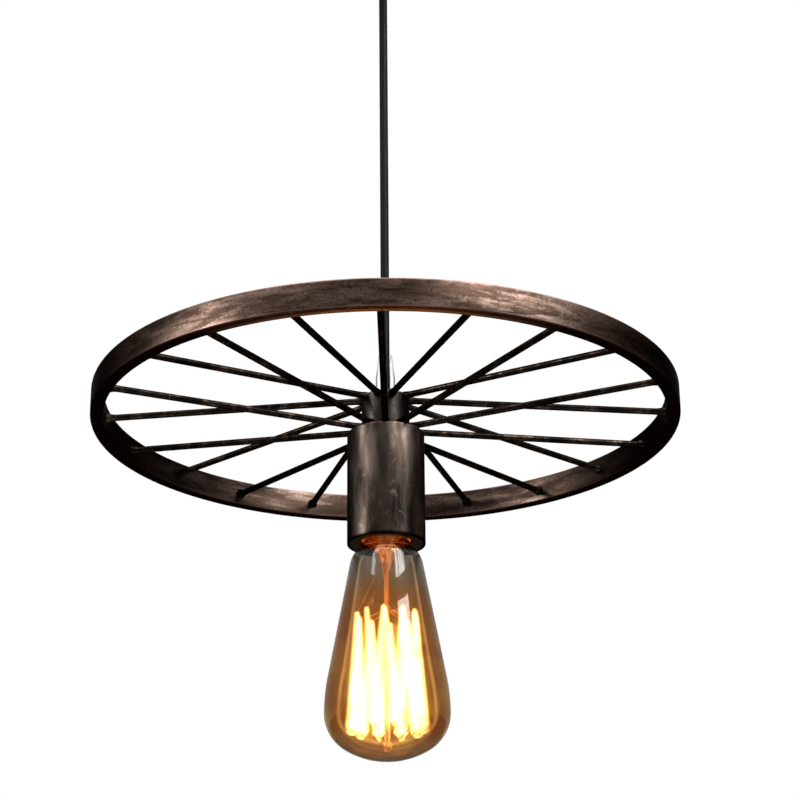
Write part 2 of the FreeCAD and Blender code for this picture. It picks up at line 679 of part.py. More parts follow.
def lampholder_terminals():
    terminals = []
    for middle, way_in in terminal_places():
        low_z = middle.z - terminal_half
        brass = block(TERMINAL_SIZE, TERMINAL_SIZE, low_z, middle.z + terminal_half, middle.x, middle.y)
        face = middle + way_in * terminal_half
        brass = brass.cut(rod(TERMINAL_BORE_RADIUS, middle - way_in * terminal_half, face))
        hole = disc(TERMINAL_SCREW_RADIUS + SEAM, middle.z, middle.z + terminal_half, middle.x, middle.y)
        terminals.append(brass.cut(hole))
    return terminals


def lampholder_terminal_screws():
    """The two floor terminals' screws, and the longer one that hangs the earth terminal."""
    screws = []
    for middle, way_in in terminal_places():
        tip_z = middle.z + LEAD_RADIUS + SEAM
        top_z = middle.z + terminal_half + TERMINAL_SCREW_LENGTH
        if way_in.y:
            top_z = bridge_collar_z + TERMINAL_SCREW_LENGTH
        screw = disc(TERMINAL_SCREW_RADIUS, tip_z, top_z, middle.x, middle.y)
        screws.append(slotted(screw, vec(middle.x, middle.y, top_z), vec(0, 0, 1)))
    return screws


def lampholder_leads():
    """Live, neutral and earth: from the sheath's lower end down and out into a terminal each."""
    ring = math.sqrt(2) * LEAD_RADIUS + SEAM
    leads = []
    for middle, way_in in terminal_places():
        start = vec(0, 0, bridge_z) - way_in * ring
        inside = middle + way_in * (terminal_half - LEAD_REACH / 2)
        corner = vec(start.x, start.y, middle.z)
        leads.append(swept("lampholder lead", [start, corner, inside], LEAD_RADIUS))
    return leads


# ---- bulb ------------------------------------------------------------------------------------
def bulb_contact():
    high_z = contact_top_z - SEAM
    cap = disc(CAP_CONTACT_RADIUS, contact_top_z - CAP_CONTACT_HEIGHT, high_z)
    return cap.makeFillet(CAP_CONTACT_HEIGHT / 2, [level_edge(cap, CAP_CONTACT_RADIUS, high_z)])


def bulb_cap_insulator():
    """The black glass between the centre contact and the screw cap."""
    top_z = contact_top_z - CAP_CONTACT_HEIGHT
    inner = CAP_RADIUS - CAP_WALL - RUNNING_FIT
    return turned([
        (0, top_z),
        (CAP_CONTACT_RADIUS, top_z),
        (inner, cap_shoulder_z),
        (inner, cap_shoulder_z - CAP_INSULATOR_SKIRT),
        (0, cap_shoulder_z - CAP_INSULATOR_SKIRT),
    ])


def bulb_cap():
    return tube(CAP_RADIUS, CAP_RADIUS - CAP_WALL, cap_edge_z, cap_shoulder_z)


def glass_outline(inset):
    """Edges of half the glass, drawn inwards by inset: neck, shoulder, taper, belly and dome."""
    lean = math.radians(GLASS_CONE_ANGLE)
    turn = math.radians(GLASS_SHOULDER_TURN)
    dome_z = glass_bottom_z + GLASS_DOME_HEIGHT
    belly_centre = vec(GLASS_RADIUS - GLASS_BELLY_RADIUS, 0, dome_z)
    taper_low = on_arc(belly_centre, GLASS_BELLY_RADIUS, lean)
    neck_low = vec(GLASS_NECK_RADIUS, 0, cap_edge_z - GLASS_THROAT)
    # the one radius whose arc starts at the neck and runs on into the taper without a corner
    spread = taper_low.x - math.tan(lean) * (neck_low.z - taper_low.z) - neck_low.x
    share = math.cos(lean) - math.cos(turn) + math.tan(lean) * (math.sin(lean) - math.sin(turn))
    shoulder = spread / share
    shoulder_centre = neck_low - vec(math.cos(turn), 0, math.sin(turn)) * shoulder
    arc_top = on_arc(shoulder_centre, shoulder - inset, turn)
    arc_middle = on_arc(shoulder_centre, shoulder - inset, (turn + lean) / 2)
    arc_low = on_arc(shoulder_centre, shoulder - inset, lean)
    belly_top = on_arc(belly_centre, GLASS_BELLY_RADIUS - inset, lean)
    belly_middle = on_arc(belly_centre, GLASS_BELLY_RADIUS - inset, lean / 2)
    belly_low = on_arc(belly_centre, GLASS_BELLY_RADIUS - inset, 0)
    # the corner's one radius that meets both the upright belly and the flatter crown
    corner = 2 * GLASS_DOME_HEIGHT * GLASS_CROWN_RADIUS - GLASS_RADIUS ** 2 - GLASS_DOME_HEIGHT ** 2
    corner = corner / (2 * (GLASS_CROWN_RADIUS - GLASS_RADIUS))
    corner_centre = vec(GLASS_RADIUS - corner, 0, dome_z)
    crown_centre = vec(0, 0, glass_bottom_z + GLASS_CROWN_RADIUS)
    meeting = math.atan2(corner_centre.z - crown_centre.z, corner_centre.x)
    corner_middle = on_arc(corner_centre, corner - inset, meeting / 2)
    corner_low = on_arc(corner_centre, corner - inset, meeting)
    crown_middle = on_arc(crown_centre, GLASS_CROWN_RADIUS - inset, (meeting - math.pi / 2) / 2)
    pole = vec(0, 0, glass_bottom_z + inset)
    neck_top = vec(GLASS_NECK_RADIUS - inset, 0, cap_edge_z + GLASS_NECK_LENGTH)
    return [
        Part.LineSegment(neck_top, arc_top).toShape(),
        Part.Arc(arc_top, arc_middle, arc_low).toShape(),
        Part.LineSegment(arc_low, belly_top).toShape(),
        Part.Arc(belly_top, belly_middle, belly_low).toShape(),
        Part.Arc(belly_low, corner_middle, corner_low).toShape(),
        Part.Arc(corner_low, crown_middle, pole).toShape(),
    ]


def on_arc(centre, radius, turn):
    return centre + vec(math.cos(turn), 0, math.sin(turn)) * radius


def glass_solid(inset):
    """The glass's outer form, or its hollow, as one solid down to its pole."""
    edges = glass_outline(inset)
    top = edges[0].Vertexes[0].Point
    pole = edges[-1].Vertexes[-1].Point
    axis_top = vec(0, 0, top.z)
    closing = [Part.LineSegment(pole, axis_top).toShape(), Part.LineSegment(axis_top, top).toShape()]
    return turned_face(Part.Wire(edges + closing))


def bulb_glass():
    return glass_solid(0).cut(glass_solid(GLASS_WALL))


def bulb_stem():
    """The glass stem: a flare sealed to the neck, a cone, a rod down the middle and a bead."""
    seal_z = cap_edge_z + GLASS_NECK_LENGTH
    cone_top_z = cap_edge_z - STEM_CONE_TOP
    cone_low_z = cone_top_z - STEM_CONE_LENGTH
    inner = GLASS_NECK_RADIUS - GLASS_WALL - SEAM
    tube_inner = STEM_TUBE_RADIUS - GLASS_WALL
    flare = turned([
        (inner - GLASS_WALL, seal_z),
        (inner, seal_z),
        (STEM_TUBE_RADIUS, seal_z - GLASS_NECK_LENGTH),
        (STEM_FLARE_RADIUS, cone_top_z),
        (STEM_ROD_RADIUS, cone_low_z),
        (0, cone_low_z),
        (0, cone_low_z + GLASS_WALL),
        (STEM_FLARE_RADIUS - GLASS_WALL, cone_top_z),
        (tube_inner, seal_z - GLASS_NECK_LENGTH),
    ])
    stem = flare.fuse(disc(STEM_ROD_RADIUS, star_z, cone_low_z))
    for level in (bead_z, star_z):
        stem = stem.fuse(Part.makeSphere(BEAD_RADIUS, vec(0, 0, level)))
    return stem


def cage_point(step):
    """A corner of the zigzag filament: even steps are at the top, odd ones at the bottom."""
    turn = math.radians(360 * step / CAGE_LEGS + CAGE_TURN)
    radius = CAGE_RADIUS if step % 2 else CAGE_TOP_RADIUS
    level = cage_bottom_z if step % 2 else cage_top_z
    return vec(radius * math.cos(turn), radius * math.sin(turn), level)


def bulb_filament():
    """One wire up and down round the cage, open below between its two upper ends."""
    corners = [cage_point(step) for step in range(CAGE_LEGS - 1)]
    wire = Part.makeSphere(FILAMENT_RADIUS, corners[0])
    for start, end in zip(corners, corners[1:]):
        wire = wire.fuse(rod(FILAMENT_RADIUS, start, end))
        wire = wire.fuse(Part.makeSphere(FILAMENT_RADIUS, end))
    return wire


def bulb_support_wires():
    """Spokes of thin wire from the stem's two beads out to the filament's corners."""
    wires = []
    for step in range(1, CAGE_LEGS - 2):
        corner = cage_point(step)
        centre = vec(0, 0, star_z if step % 2 else bead_z)
        out = (corner - centre).normalize()
        end = corner - out * (FILAMENT_RADIUS + WIRE_END_ROOM)
        wires.append(rod(SUPPORT_RADIUS, centre + out * (BEAD_RADIUS + SEAM), end))
    return wires


def bulb_lead_in_wires():
    """Two wires from the stem's cone to the filament's two ends."""
    wires = []
    cone_mid_z = cap_edge_z - STEM_CONE_TOP - STEM_CONE_LENGTH / 2
    for step in (0, CAGE_LEGS - 2):
        corner = cage_point(step)
        outward = vec(corner.x, corner.y, 0).normalize()
        start = outward * (STEM_FLARE_RADIUS / 2 + STEM_ROD_RADIUS) + vec(0, 0, cone_mid_z)
        back = (start - corner).normalize()
        wires.append(rod(LEAD_IN_RADIUS, start, corner + back * (FILAMENT_RADIUS + WIRE_END_ROOM)))
    return wires


# ---- write every piece -----------------------------------------------------------------------
def main():
    os.makedirs("parts", exist_ok=True)
    save("canopy_cup", [canopy_cup()])
    save("ceiling_bracket", [ceiling_bracket()])
    save("canopy_side_screws", canopy_side_screws())
    save("canopy_cord_grip", [canopy_cord_grip()])
    save("canopy_grip_screw", [canopy_grip_screw()])
    save("canopy_grip_nut", [canopy_grip_nut()])
    save("cord_tail_ceiling", [cord_tail_ceiling()])
    save("terminal_block", [terminal_block()])
    save("terminal_barrels", terminal_barrels())
    save("terminal_block_screws", terminal_block_screws())
    save("terminal_block_fixings", terminal_block_fixings())
    for pole, wire in enumerate(("live", "earth", "neutral")):
        name = "ceiling_" + wire + "_lead"
        save(name, [ceiling_lead(name, pole)])

    save("suspension_cord", [suspension_cord()])

    save("hub_cord_grip", [hub_cord_grip()])
    save("cord_tail_hub", [cord_tail_hub()])
    save("wheel_hub", [hub()])
    save("wheel_rim", [rim()])
    for index in range(SPOKE_COUNT):
        save("spoke_%02d" % (index + 1), [spoke(index)])
    save("threaded_nipple", [threaded_nipple()])
    save("spring_washer", [spring_washer()])
    save("cup_nut", [cup_nut()])
    save("socket_cup", [socket_cup()])
    save("lampholder_bridge", [lampholder_bridge()])
    save("lampholder_bridge_screws", lampholder_bridge_screws())
    save("lampholder_body", [lampholder_body()])
    save("lampholder_screw_shell", [screw_shell()])
    save("lampholder_centre_contact", [centre_contact()])
    save("lampholder_terminals", lampholder_terminals())
    save("lampholder_terminal_screws", lampholder_terminal_screws())
    save("lampholder_leads", lampholder_leads())

    save("bulb_contact", [bulb_contact()])
    save("bulb_cap_insulator", [bulb_cap_insulator()])
    save("bulb_cap", [bulb_cap()])
    save("bulb_glass", [bulb_glass()])
    save("bulb_stem", [bulb_stem()])
    save("bulb_lead_in_wires", bulb_lead_in_wires())
    save("bulb_support_wires", bulb_support_wires())
    save("bulb_filament", [bulb_filament()])


main()
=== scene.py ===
# %% [markdown]
# # A wagon wheel pendant lamp
# A steel wheel hangs flat on a black cord, with a socket cup and a lit squirrel cage bulb under
# its hub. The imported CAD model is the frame: it has every piece at its real size and place, down
# to the nuts and leads that nobody sees. What shows is made again here as fine, smooth surfaces,
# each worked out with numpy, and the hidden pieces keep their CAD shape and get a real finish.

# %% Load the frame
import math

import bmesh
import bpy
import numpy as np
from mathutils import Matrix, Vector


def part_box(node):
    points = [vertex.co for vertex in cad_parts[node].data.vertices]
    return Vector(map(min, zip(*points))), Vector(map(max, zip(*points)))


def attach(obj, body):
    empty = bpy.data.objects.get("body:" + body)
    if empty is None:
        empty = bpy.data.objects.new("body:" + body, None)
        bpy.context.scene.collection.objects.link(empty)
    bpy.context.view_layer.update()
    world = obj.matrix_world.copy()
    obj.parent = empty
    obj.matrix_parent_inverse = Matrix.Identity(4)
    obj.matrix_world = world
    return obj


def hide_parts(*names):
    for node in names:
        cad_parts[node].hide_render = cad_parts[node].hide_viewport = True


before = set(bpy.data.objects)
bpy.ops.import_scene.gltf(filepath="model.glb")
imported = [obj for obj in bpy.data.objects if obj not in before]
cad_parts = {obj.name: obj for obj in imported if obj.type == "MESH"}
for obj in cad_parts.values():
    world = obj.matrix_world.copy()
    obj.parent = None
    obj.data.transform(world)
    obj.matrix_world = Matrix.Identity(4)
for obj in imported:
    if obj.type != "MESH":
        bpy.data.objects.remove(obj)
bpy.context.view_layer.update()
MM = 0.001

# %% Heights that the frame gives
def heights(node):
    """A CAD node's lowest and highest z, in millimetres."""
    low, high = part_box(node)
    return low.z / MM, high.z / MM


wheel_mm = sum(heights("wheel_rim")) / 2
wheel_z = wheel_mm * MM
hub_low, hub_top = heights("wheel_hub")
cup_low, cup_top = heights("socket_cup")
cap_low, cap_high = heights("bulb_cap")
glass_low, glass_high = heights("bulb_glass")
grip_low, grip_top = heights("hub_cord_grip")
canopy_low = heights("canopy_cup")[0]
print("wheel at", round(wheel_mm, 1), "mm; bulb's lowest point", round(glass_low, 1), "mm")

# %% [markdown]
# ## The camera
# The photograph looks up at the lamp from about a metre away. The camera's distance, its height
# and its lens were fitted to the rim's four ellipses and the socket's mouth. It is turned until
# the middle of the wheel falls on the pixel where the photograph has it.

# %% Camera
IMAGE_SIZE = 800
CAMERA_DISTANCE = 1.1
CAMERA_BELOW = math.radians(21.63)
CAMERA_ROUND = math.radians(0.86)
CAMERA_ROLL = math.radians(0.35)
FOCAL_PIXELS = 2061
WHEEL_PIXEL = (385.6, 415.3)
SENSOR = 36.0


def aim_camera(camera, target):
    """Turn a level camera so that target lands on WHEEL_PIXEL, then roll it a touch."""
    away = Vector((
        math.sin(CAMERA_ROUND) * math.cos(CAMERA_BELOW),
        -math.cos(CAMERA_ROUND) * math.cos(CAMERA_BELOW),
        -math.sin(CAMERA_BELOW),
    ))
    camera.location = target + away * CAMERA_DISTANCE
    straight = (-away).to_track_quat("-Z", "Y")
    across = (WHEEL_PIXEL[0] - IMAGE_SIZE / 2) / FOCAL_PIXELS
    down = (WHEEL_PIXEL[1] - IMAGE_SIZE / 2) / FOCAL_PIXELS
    wanted = Vector((across, -down, -1)).normalized()
    offset = wanted.rotation_difference(Vector((0, 0, -1)))
    roll = Matrix.Rotation(-CAMERA_ROLL, 3, "Z").to_quaternion()
    camera.rotation_mode = "QUATERNION"
    camera.rotation_quaternion = straight @ roll @ offset


camera_data = bpy.data.cameras.new("camera")
camera_data.sensor_width = SENSOR
camera_data.lens = SENSOR * FOCAL_PIXELS / IMAGE_SIZE
camera_data.clip_start = 0.01
camera = bpy.data.objects.new("camera", camera_data)
bpy.context.collection.objects.link(camera)
bpy.context.scene.camera = camera
aim_camera(camera, Vector((0, 0, wheel_z)))
print("lens", round(camera_data.lens, 1), "mm")

# %% [markdown]
# ## Small tools for colour and nodes
# A photo editor's hex colour isn't linear light, so one function turns it into what a shader
# takes. One more adds any node, with its settings and its links, in a single line. Two others only
# work out a node's inputs from sizes in millimetres, because a pattern has a real size too.

# %% Colour and node helpers
def linear(hex_colour):
    """sRGB hex to linear: c / 12.92 below 0.04045, else ((c + 0.055) / 1.055) ** 2.4."""
    parts = np.array([int(hex_colour[place:place + 2], 16) / 255 for place in (1, 3, 5)])
    light = np.where(parts <= 0.04045, parts / 12.92, ((parts + 0.055) / 1.055) ** 2.4)
    return (*light.tolist(), 1.0)


def add(owner, kind, inputs=None, stops=(), **settings):
    """Add a node with its settings and links. inputs maps a socket to a number, a hex colour, a
    node's output, or a node, of which the first output in use is taken. stops are a ramp's
    (position, hex colour or grey level)."""
    node = owner.node_tree.nodes.new("ShaderNode" + kind)
    for name, value in settings.items():
        setattr(node, name, value)
    for name, value in (inputs or {}).items():
        if isinstance(value, bpy.types.Node):
            value = next(output for output in value.outputs if output.enabled)
        if isinstance(value, bpy.types.NodeSocket):
            owner.node_tree.links.new(value, node.inputs[name])
        else:
            node.inputs[name].default_value = linear(value) if isinstance(value, str) else value
    if stops:
        elements = node.color_ramp.elements
        while len(elements) < len(stops):
            elements.new(0.5)
        for element, (position, level) in zip(elements, stops):
            element.position = position
            element.color = linear(level) if isinstance(level, str) else (level, level, level, 1.0)
    return node


def clouds(place, size_mm, detail=3.0, roughness=0.55, distortion=0.0):
    """A noise node's inputs for blobs of about size_mm: its scale is blobs per metre."""
    return {
        "Vector": place, "Scale": 1 / (size_mm * MM),
        "Detail": detail, "Roughness": roughness, "Distortion": distortion,
    }


def between(value, first_mm, last_mm, first=0.0, last=1.0):
    """A map range node's inputs: value, a length, goes from first to last over these two sizes."""
    return {
        "Value": value, "From Min": first_mm * MM, "From Max": last_mm * MM,
        "To Min": first, "To Max": last,
    }


def new_material(name):
    """A material with an empty node tree, and the place on the object that its patterns read."""
    material = bpy.data.materials.new(name)
    material.use_nodes = True
    material.node_tree.nodes.clear()
    return material, add(material, "TexCoord").outputs["Object"]


def finish_material(material, shader, bump=None):
    """Send a bump's normal, where there is one, to the shader and the shader to the output."""
    if bump is not None:
        material.node_tree.links.new(bump.outputs["Normal"], shader.inputs["Normal"])
    add(material, "OutputMaterial", {"Surface": shader})
    return material


print("middle grey as linear light:", round(linear("#808080")[0], 3))

# %% [markdown]
# Plastics, brass and plated steel are all made alike: two close colours in clouds of a real size,
# a gloss that changes with them, and a fine grain that breaks up the highlights.

# %% Cloudy finish
def cloudy_finish(name, colours, rough, cloud, grain, bump, stretch=(1, 1, 1), **values):
    """colours and rough are ramps over the clouds; cloud and grain are (size in mm, detail) and
    bump is the grain's strength; stretch squeezes the grain's axes. values go to the shader's
    own sockets, whose names have a space where these have an underscore."""
    material, place = new_material(name)
    cloud = add(material, "TexNoise", clouds(place, *cloud))
    inputs = {key.replace("_", " "): value for key, value in values.items()}
    inputs["Base Color"] = add(material, "ValToRGB", {"Fac": cloud}, stops=colours)
    inputs["Roughness"] = add(material, "ValToRGB", {"Fac": cloud}, stops=rough)
    shader = add(material, "BsdfPrincipled", inputs)
    drawn = add(material, "Mapping", {"Vector": place, "Scale": stretch})
    height = add(material, "TexNoise", clouds(drawn, *grain))
    grain_bump = add(material, "Bump", {"Height": height, "Strength": bump, "Distance": 0.05 * MM})
    return finish_material(material, shader, grain_bump)


# %% [markdown]
# ## Small tools for shapes
# Nearly all of this lamp was turned on a lathe, spun, or drawn as wire. So two surfaces make
# almost everything: an outline swung round the axis, and a circle carried along a path. Both are
# grids of points that numpy works out at once.

# %% Mesh helpers
def grid_mesh(name, points, wrap_rows=False, wrap_columns=False, sharp=35.0):
    """A quad mesh from a grid of points; poles are welded and faces turned outwards."""
    rows, columns = points.shape[:2]
    index = np.arange(rows * columns).reshape(rows, columns)
    if wrap_rows:
        index = np.vstack([index, index[:1]])
    if wrap_columns:
        index = np.hstack([index, index[:, :1]])
    corners = [index[:-1, :-1], index[1:, :-1], index[1:, 1:], index[:-1, 1:]]
    quads = np.stack(corners, axis=-1).reshape(-1, 4)
    mesh = bpy.data.meshes.new(name)
    mesh.from_pydata(points.reshape(-1, 3).tolist(), [], quads.tolist())
    work = bmesh.new()
    work.from_mesh(mesh)
    bmesh.ops.remove_doubles(work, verts=work.verts, dist=1e-7)
    bmesh.ops.dissolve_degenerate(work, edges=work.edges, dist=1e-8)
    bmesh.ops.recalc_face_normals(work, faces=work.faces)
    work.to_mesh(mesh)
    work.free()
    mesh.shade_smooth()
    mesh.set_sharp_from_angle(angle=math.radians(sharp))
    return mesh


def join_meshes(name, meshes):
    """One mesh that holds several, each kept whole."""
    work = bmesh.new()
    for mesh in meshes:
        work.from_mesh(mesh)
    whole = bpy.data.meshes.new(name)
    work.to_mesh(whole)
    work.free()
    return whole


def piece(name, mesh, material, body, slot, *nodes):
    """Show a mesh as a named piece that rides on a body and stands for CAD nodes."""
    thing = bpy.data.objects.new(name, mesh)
    bpy.context.collection.objects.link(thing)
    thing.data.materials.clear()
    thing.data.materials.append(material)
    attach(thing, body)
    if nodes:
        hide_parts(*nodes)
    print(name, "on", body, "with", len(mesh.polygons), "faces")
    return thing


def rounded(corners, steps=6):
    """A closed outline from (radius, z, rounding) corners: each corner becomes an arc that
    touches its two sides at rounding / tan(half the angle between them)."""
    outline = []
    count = len(corners)
    for place in range(count):
        corner = np.array(corners[place][:2], float)
        size = corners[place][2]
        back = np.array(corners[place - 1][:2], float) - corner
        ahead = np.array(corners[(place + 1) % count][:2], float) - corner
        back = back / np.linalg.norm(back)
        ahead = ahead / np.linalg.norm(ahead)
        if size == 0:
            outline.append(corner[None])
            continue
        half = np.arccos(np.clip(back @ ahead, -1, 1)) / 2
        bisector = (back + ahead) / np.linalg.norm(back + ahead)
        centre = corner + bisector * size / np.sin(half)
        first = corner + back * size / np.tan(half) - centre
        last = corner + ahead * size / np.tan(half) - centre
        share = np.linspace(0, 1, steps)[:, None]
        turn = np.pi - 2 * half
        arc = (np.sin((1 - share) * turn) * first + np.sin(share * turn) * last) / np.sin(turn)
        outline.append(centre + arc)
    return np.vstack(outline)


def turned(name, outline, segments=192, sharp=35.0):
    """Swing an (n, 2) outline of radius and z, in mm, round the lamp's axis:
    x = r cos t, y = r sin t, z = z, for t from 0 to a full turn."""
    turn = np.linspace(0, 2 * np.pi, segments, endpoint=False)
    radius, z = outline[:, 0] * MM, outline[:, 1] * MM
    points = np.empty((segments, len(outline), 3))
    points[..., 0] = np.cos(turn)[:, None] * radius
    points[..., 1] = np.sin(turn)[:, None] * radius
    points[..., 2] = z
    return grid_mesh(name, points, wrap_rows=True, wrap_columns=True, sharp=sharp)


def carried(name, path, radius, sides=16):
    """Carry a circle along a path (mm). Each ring lies in the plane square to the path's tangent:
    p + r (cos a * u + sin a * v), where u and v are that plane's own axes. Both ends are closed."""
    path = np.asarray(path, float)
    radius = np.broadcast_to(np.asarray(radius, float), (len(path),))
    tangent = np.gradient(path, axis=0)
    tangent = tangent / np.linalg.norm(tangent, axis=1)[:, None]
    path = np.vstack([path[:1], path, path[-1:]])
    radius = np.r_[0, radius, 0]
    tangent = np.vstack([tangent[:1], tangent, tangent[-1:]])
    # one helper axis for the whole path keeps the rings from twisting against each other
    upright = np.mean(np.abs(tangent[:, 2]) > 0.9) > 0.5
    u = np.cross([1.0, 0.0, 0.0] if upright else [0.0, 0.0, 1.0], tangent)
    u = u / np.linalg.norm(u, axis=1)[:, None]
    v = np.cross(tangent, u)
    around = np.linspace(0, 2 * np.pi, sides, endpoint=False)[None, :, None]
    ring = np.cos(around) * u[:, None] + np.sin(around) * v[:, None]
    points = (path[:, None] + ring * radius[:, None, None]) * MM
    return grid_mesh(name, points, wrap_columns=True, sharp=50.0)

# %% [markdown]
# ## The cord
# A lamp's cord is three wires in one round black PVC sheath. The wheel's weight pulls it dead
# straight, so its spline is a straight one: from the clear grip on the hub to the grip under the
# canopy, which starts just above the photograph's top edge. PVC is matt when it is new and picks
# up a soft sheen where it is handled; its fine extrusion lines run along it.

# %% Suspension cord
CORD_DIAMETER = 4.7 * MM
CORD_POINTS = 5
# black PVC: a soft, uneven sheen broken by faint lines along the cord
cord_material = cloudy_finish(
    "extruded_black_pvc_sheath", [(0.3, "#080707"), (0.7, "#0F0D0D")], [(0.3, 0.48), (0.7, 0.62)],
    cloud=(9.0, 2), grain=(0.5, 2), bump=0.25, stretch=(1, 1, 0.04),
    IOR=1.52, Specular_IOR_Level=0.12,
)
cad_cord_low, cad_cord_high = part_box("suspension_cord")
cord_bottom = cad_cord_low.z + CORD_DIAMETER / 2
cord_top = cad_cord_high.z - CORD_DIAMETER / 2
cord_curve = bpy.data.curves.new("suspension_cord_sheath", "CURVE")
cord_curve.dimensions = "3D"
cord_curve.bevel_depth = CORD_DIAMETER / 2
cord_curve.bevel_resolution = 8
cord_curve.use_fill_caps = True
cord_spline = cord_curve.splines.new("NURBS")
cord_spline.points.add(CORD_POINTS - 1)
for number, point in enumerate(cord_spline.points):
    share = number / (CORD_POINTS - 1)
    point.co = (0, 0, cord_bottom + share * (cord_top - cord_bottom), 1)
cord_spline.order_u = 3
cord_spline.use_endpoint_u = True
cord_spline.resolution_u = 12
cord_piece = bpy.data.objects.new("suspension_cord_sheath", cord_curve)
bpy.context.collection.objects.link(cord_piece)
cord_curve.materials.append(cord_material)
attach(cord_piece, "cord")
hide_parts("suspension_cord")
print("cord", round((cord_top - cord_bottom) / MM, 1), "mm long")

# %% [markdown]
# The cord bends where each grip holds it. On both sides of a bend the sheath ends in the same
# ball, centred on the bend, so it stays whole and round however far the lamp swings.

# %% Cord ends
def cord_end(name, body, bend_z, far_z, inset=0.0):
    """A bullet: a wall of the cord's radius from far_z to the bend, then a quarter circle about
    the bend, out to the axis, on the side away from far_z. An inset keeps it inside its mate."""
    radius = CORD_DIAMETER / 2 / MM - inset
    side = 1 if bend_z > far_z else -1
    angle = np.linspace(0, np.pi / 2, 12)
    ball = np.stack([radius * np.cos(angle), bend_z / MM + side * radius * np.sin(angle)], axis=1)
    ball[-1, 0] = 0
    outline = np.vstack([[[0, far_z / MM], [radius, far_z / MM]], ball])
    return piece(name, turned(name, outline, 32), cord_material, body, "cord_sheath")


CORD_OVERLAP = 1 * MM
TAIL_INSET = 0.06
low_tail = heights("cord_tail_hub")[1] * MM
high_tail = heights("cord_tail_ceiling")[0] * MM
cord_end("cord_end_low", "cord", cord_bottom, cord_bottom + CORD_OVERLAP)
cord_end("cord_end_high", "cord", cord_top, cord_top - CORD_OVERLAP)
cord_end("cord_tail_end_low", "hub_grip", cord_bottom, low_tail - CORD_OVERLAP, TAIL_INSET)
cord_end("cord_tail_end_high", "ceiling_fitting", cord_top, high_tail + CORD_OVERLAP, TAIL_INSET)
print("the clamped ends reach", round(low_tail / MM, 2), "and", round(high_tail / MM, 2), "mm")

# %% [markdown]
# ## Aged bronze
# The wheel is mild steel, painted near-black and then rubbed with bronze wax: the brown is
# cloudy, copper shows through where hands and boxes wear it, and fine pits keep the black. Edges
# lose their paint first. Noise of three sizes makes the clouds, the rubbed patches and the pits;
# for the worn edges the material works out, from the object's own coordinates, how near a point
# is to the piece's known edges, so that the wear follows the real shape from every side.

# %% Wear, painted shade and painted glow that follow the shape
# where painted shade darkens the hoop's sides and a painted copper glow lies under its front, in mm
# from the lamp's axis
SIDE_SHADE_START, SIDE_SHADE_END = 105, 158
FRONT_GLOW_START, FRONT_GLOW_END = -125, -152
CLOUDY_BORDER = 30


def round_axis(material, place):
    """A point's three coordinates, and how far it is from the lamp's axis."""
    axes = add(material, "SeparateXYZ", {"Vector": place})
    flat = add(material, "CombineXYZ", {"X": axes.outputs["X"], "Y": axes.outputs["Y"]})
    return axes, add(material, "VectorMath", {0: flat}, operation="LENGTH")


def edge_wear(material, place, patch, colour, pale, edges, width_mm, least, stops):
    """Pale metal on a turned piece's edges, (radius, z) circles in mm, broken up by the patches:
    the share is stops((1 - distance / width) * (patch + least))."""
    axes, radius = round_axis(material, place)
    nearest = None
    for edge_radius, edge_z in edges:
        out = add(material, "Math", {0: radius, 1: edge_radius * MM}, operation="SUBTRACT")
        up = add(material, "Math", {0: axes.outputs["Z"], 1: edge_z * MM}, operation="SUBTRACT")
        offset = add(material, "CombineXYZ", {"X": out, "Y": up})
        gap = add(material, "VectorMath", {0: offset}, operation="LENGTH")
        if nearest is None:
            nearest = gap
        else:
            nearest = add(material, "Math", {0: nearest, 1: gap}, operation="MINIMUM")
    share = add(material, "Math", {0: nearest, 1: width_mm * MM}, operation="DIVIDE")
    wear = add(material, "Math", {0: 1.0, 1: share}, operation="SUBTRACT", use_clamp=True)
    uneven = add(material, "Math", {0: patch, 1: least}, operation="ADD")
    wear = add(material, "Math", {0: wear, 1: uneven}, operation="MULTIPLY")
    wear = add(material, "ValToRGB", {"Fac": wear}, stops=stops)
    return add(material, "Mix", {0: wear, 6: colour, 7: pale}, data_type="RGBA")


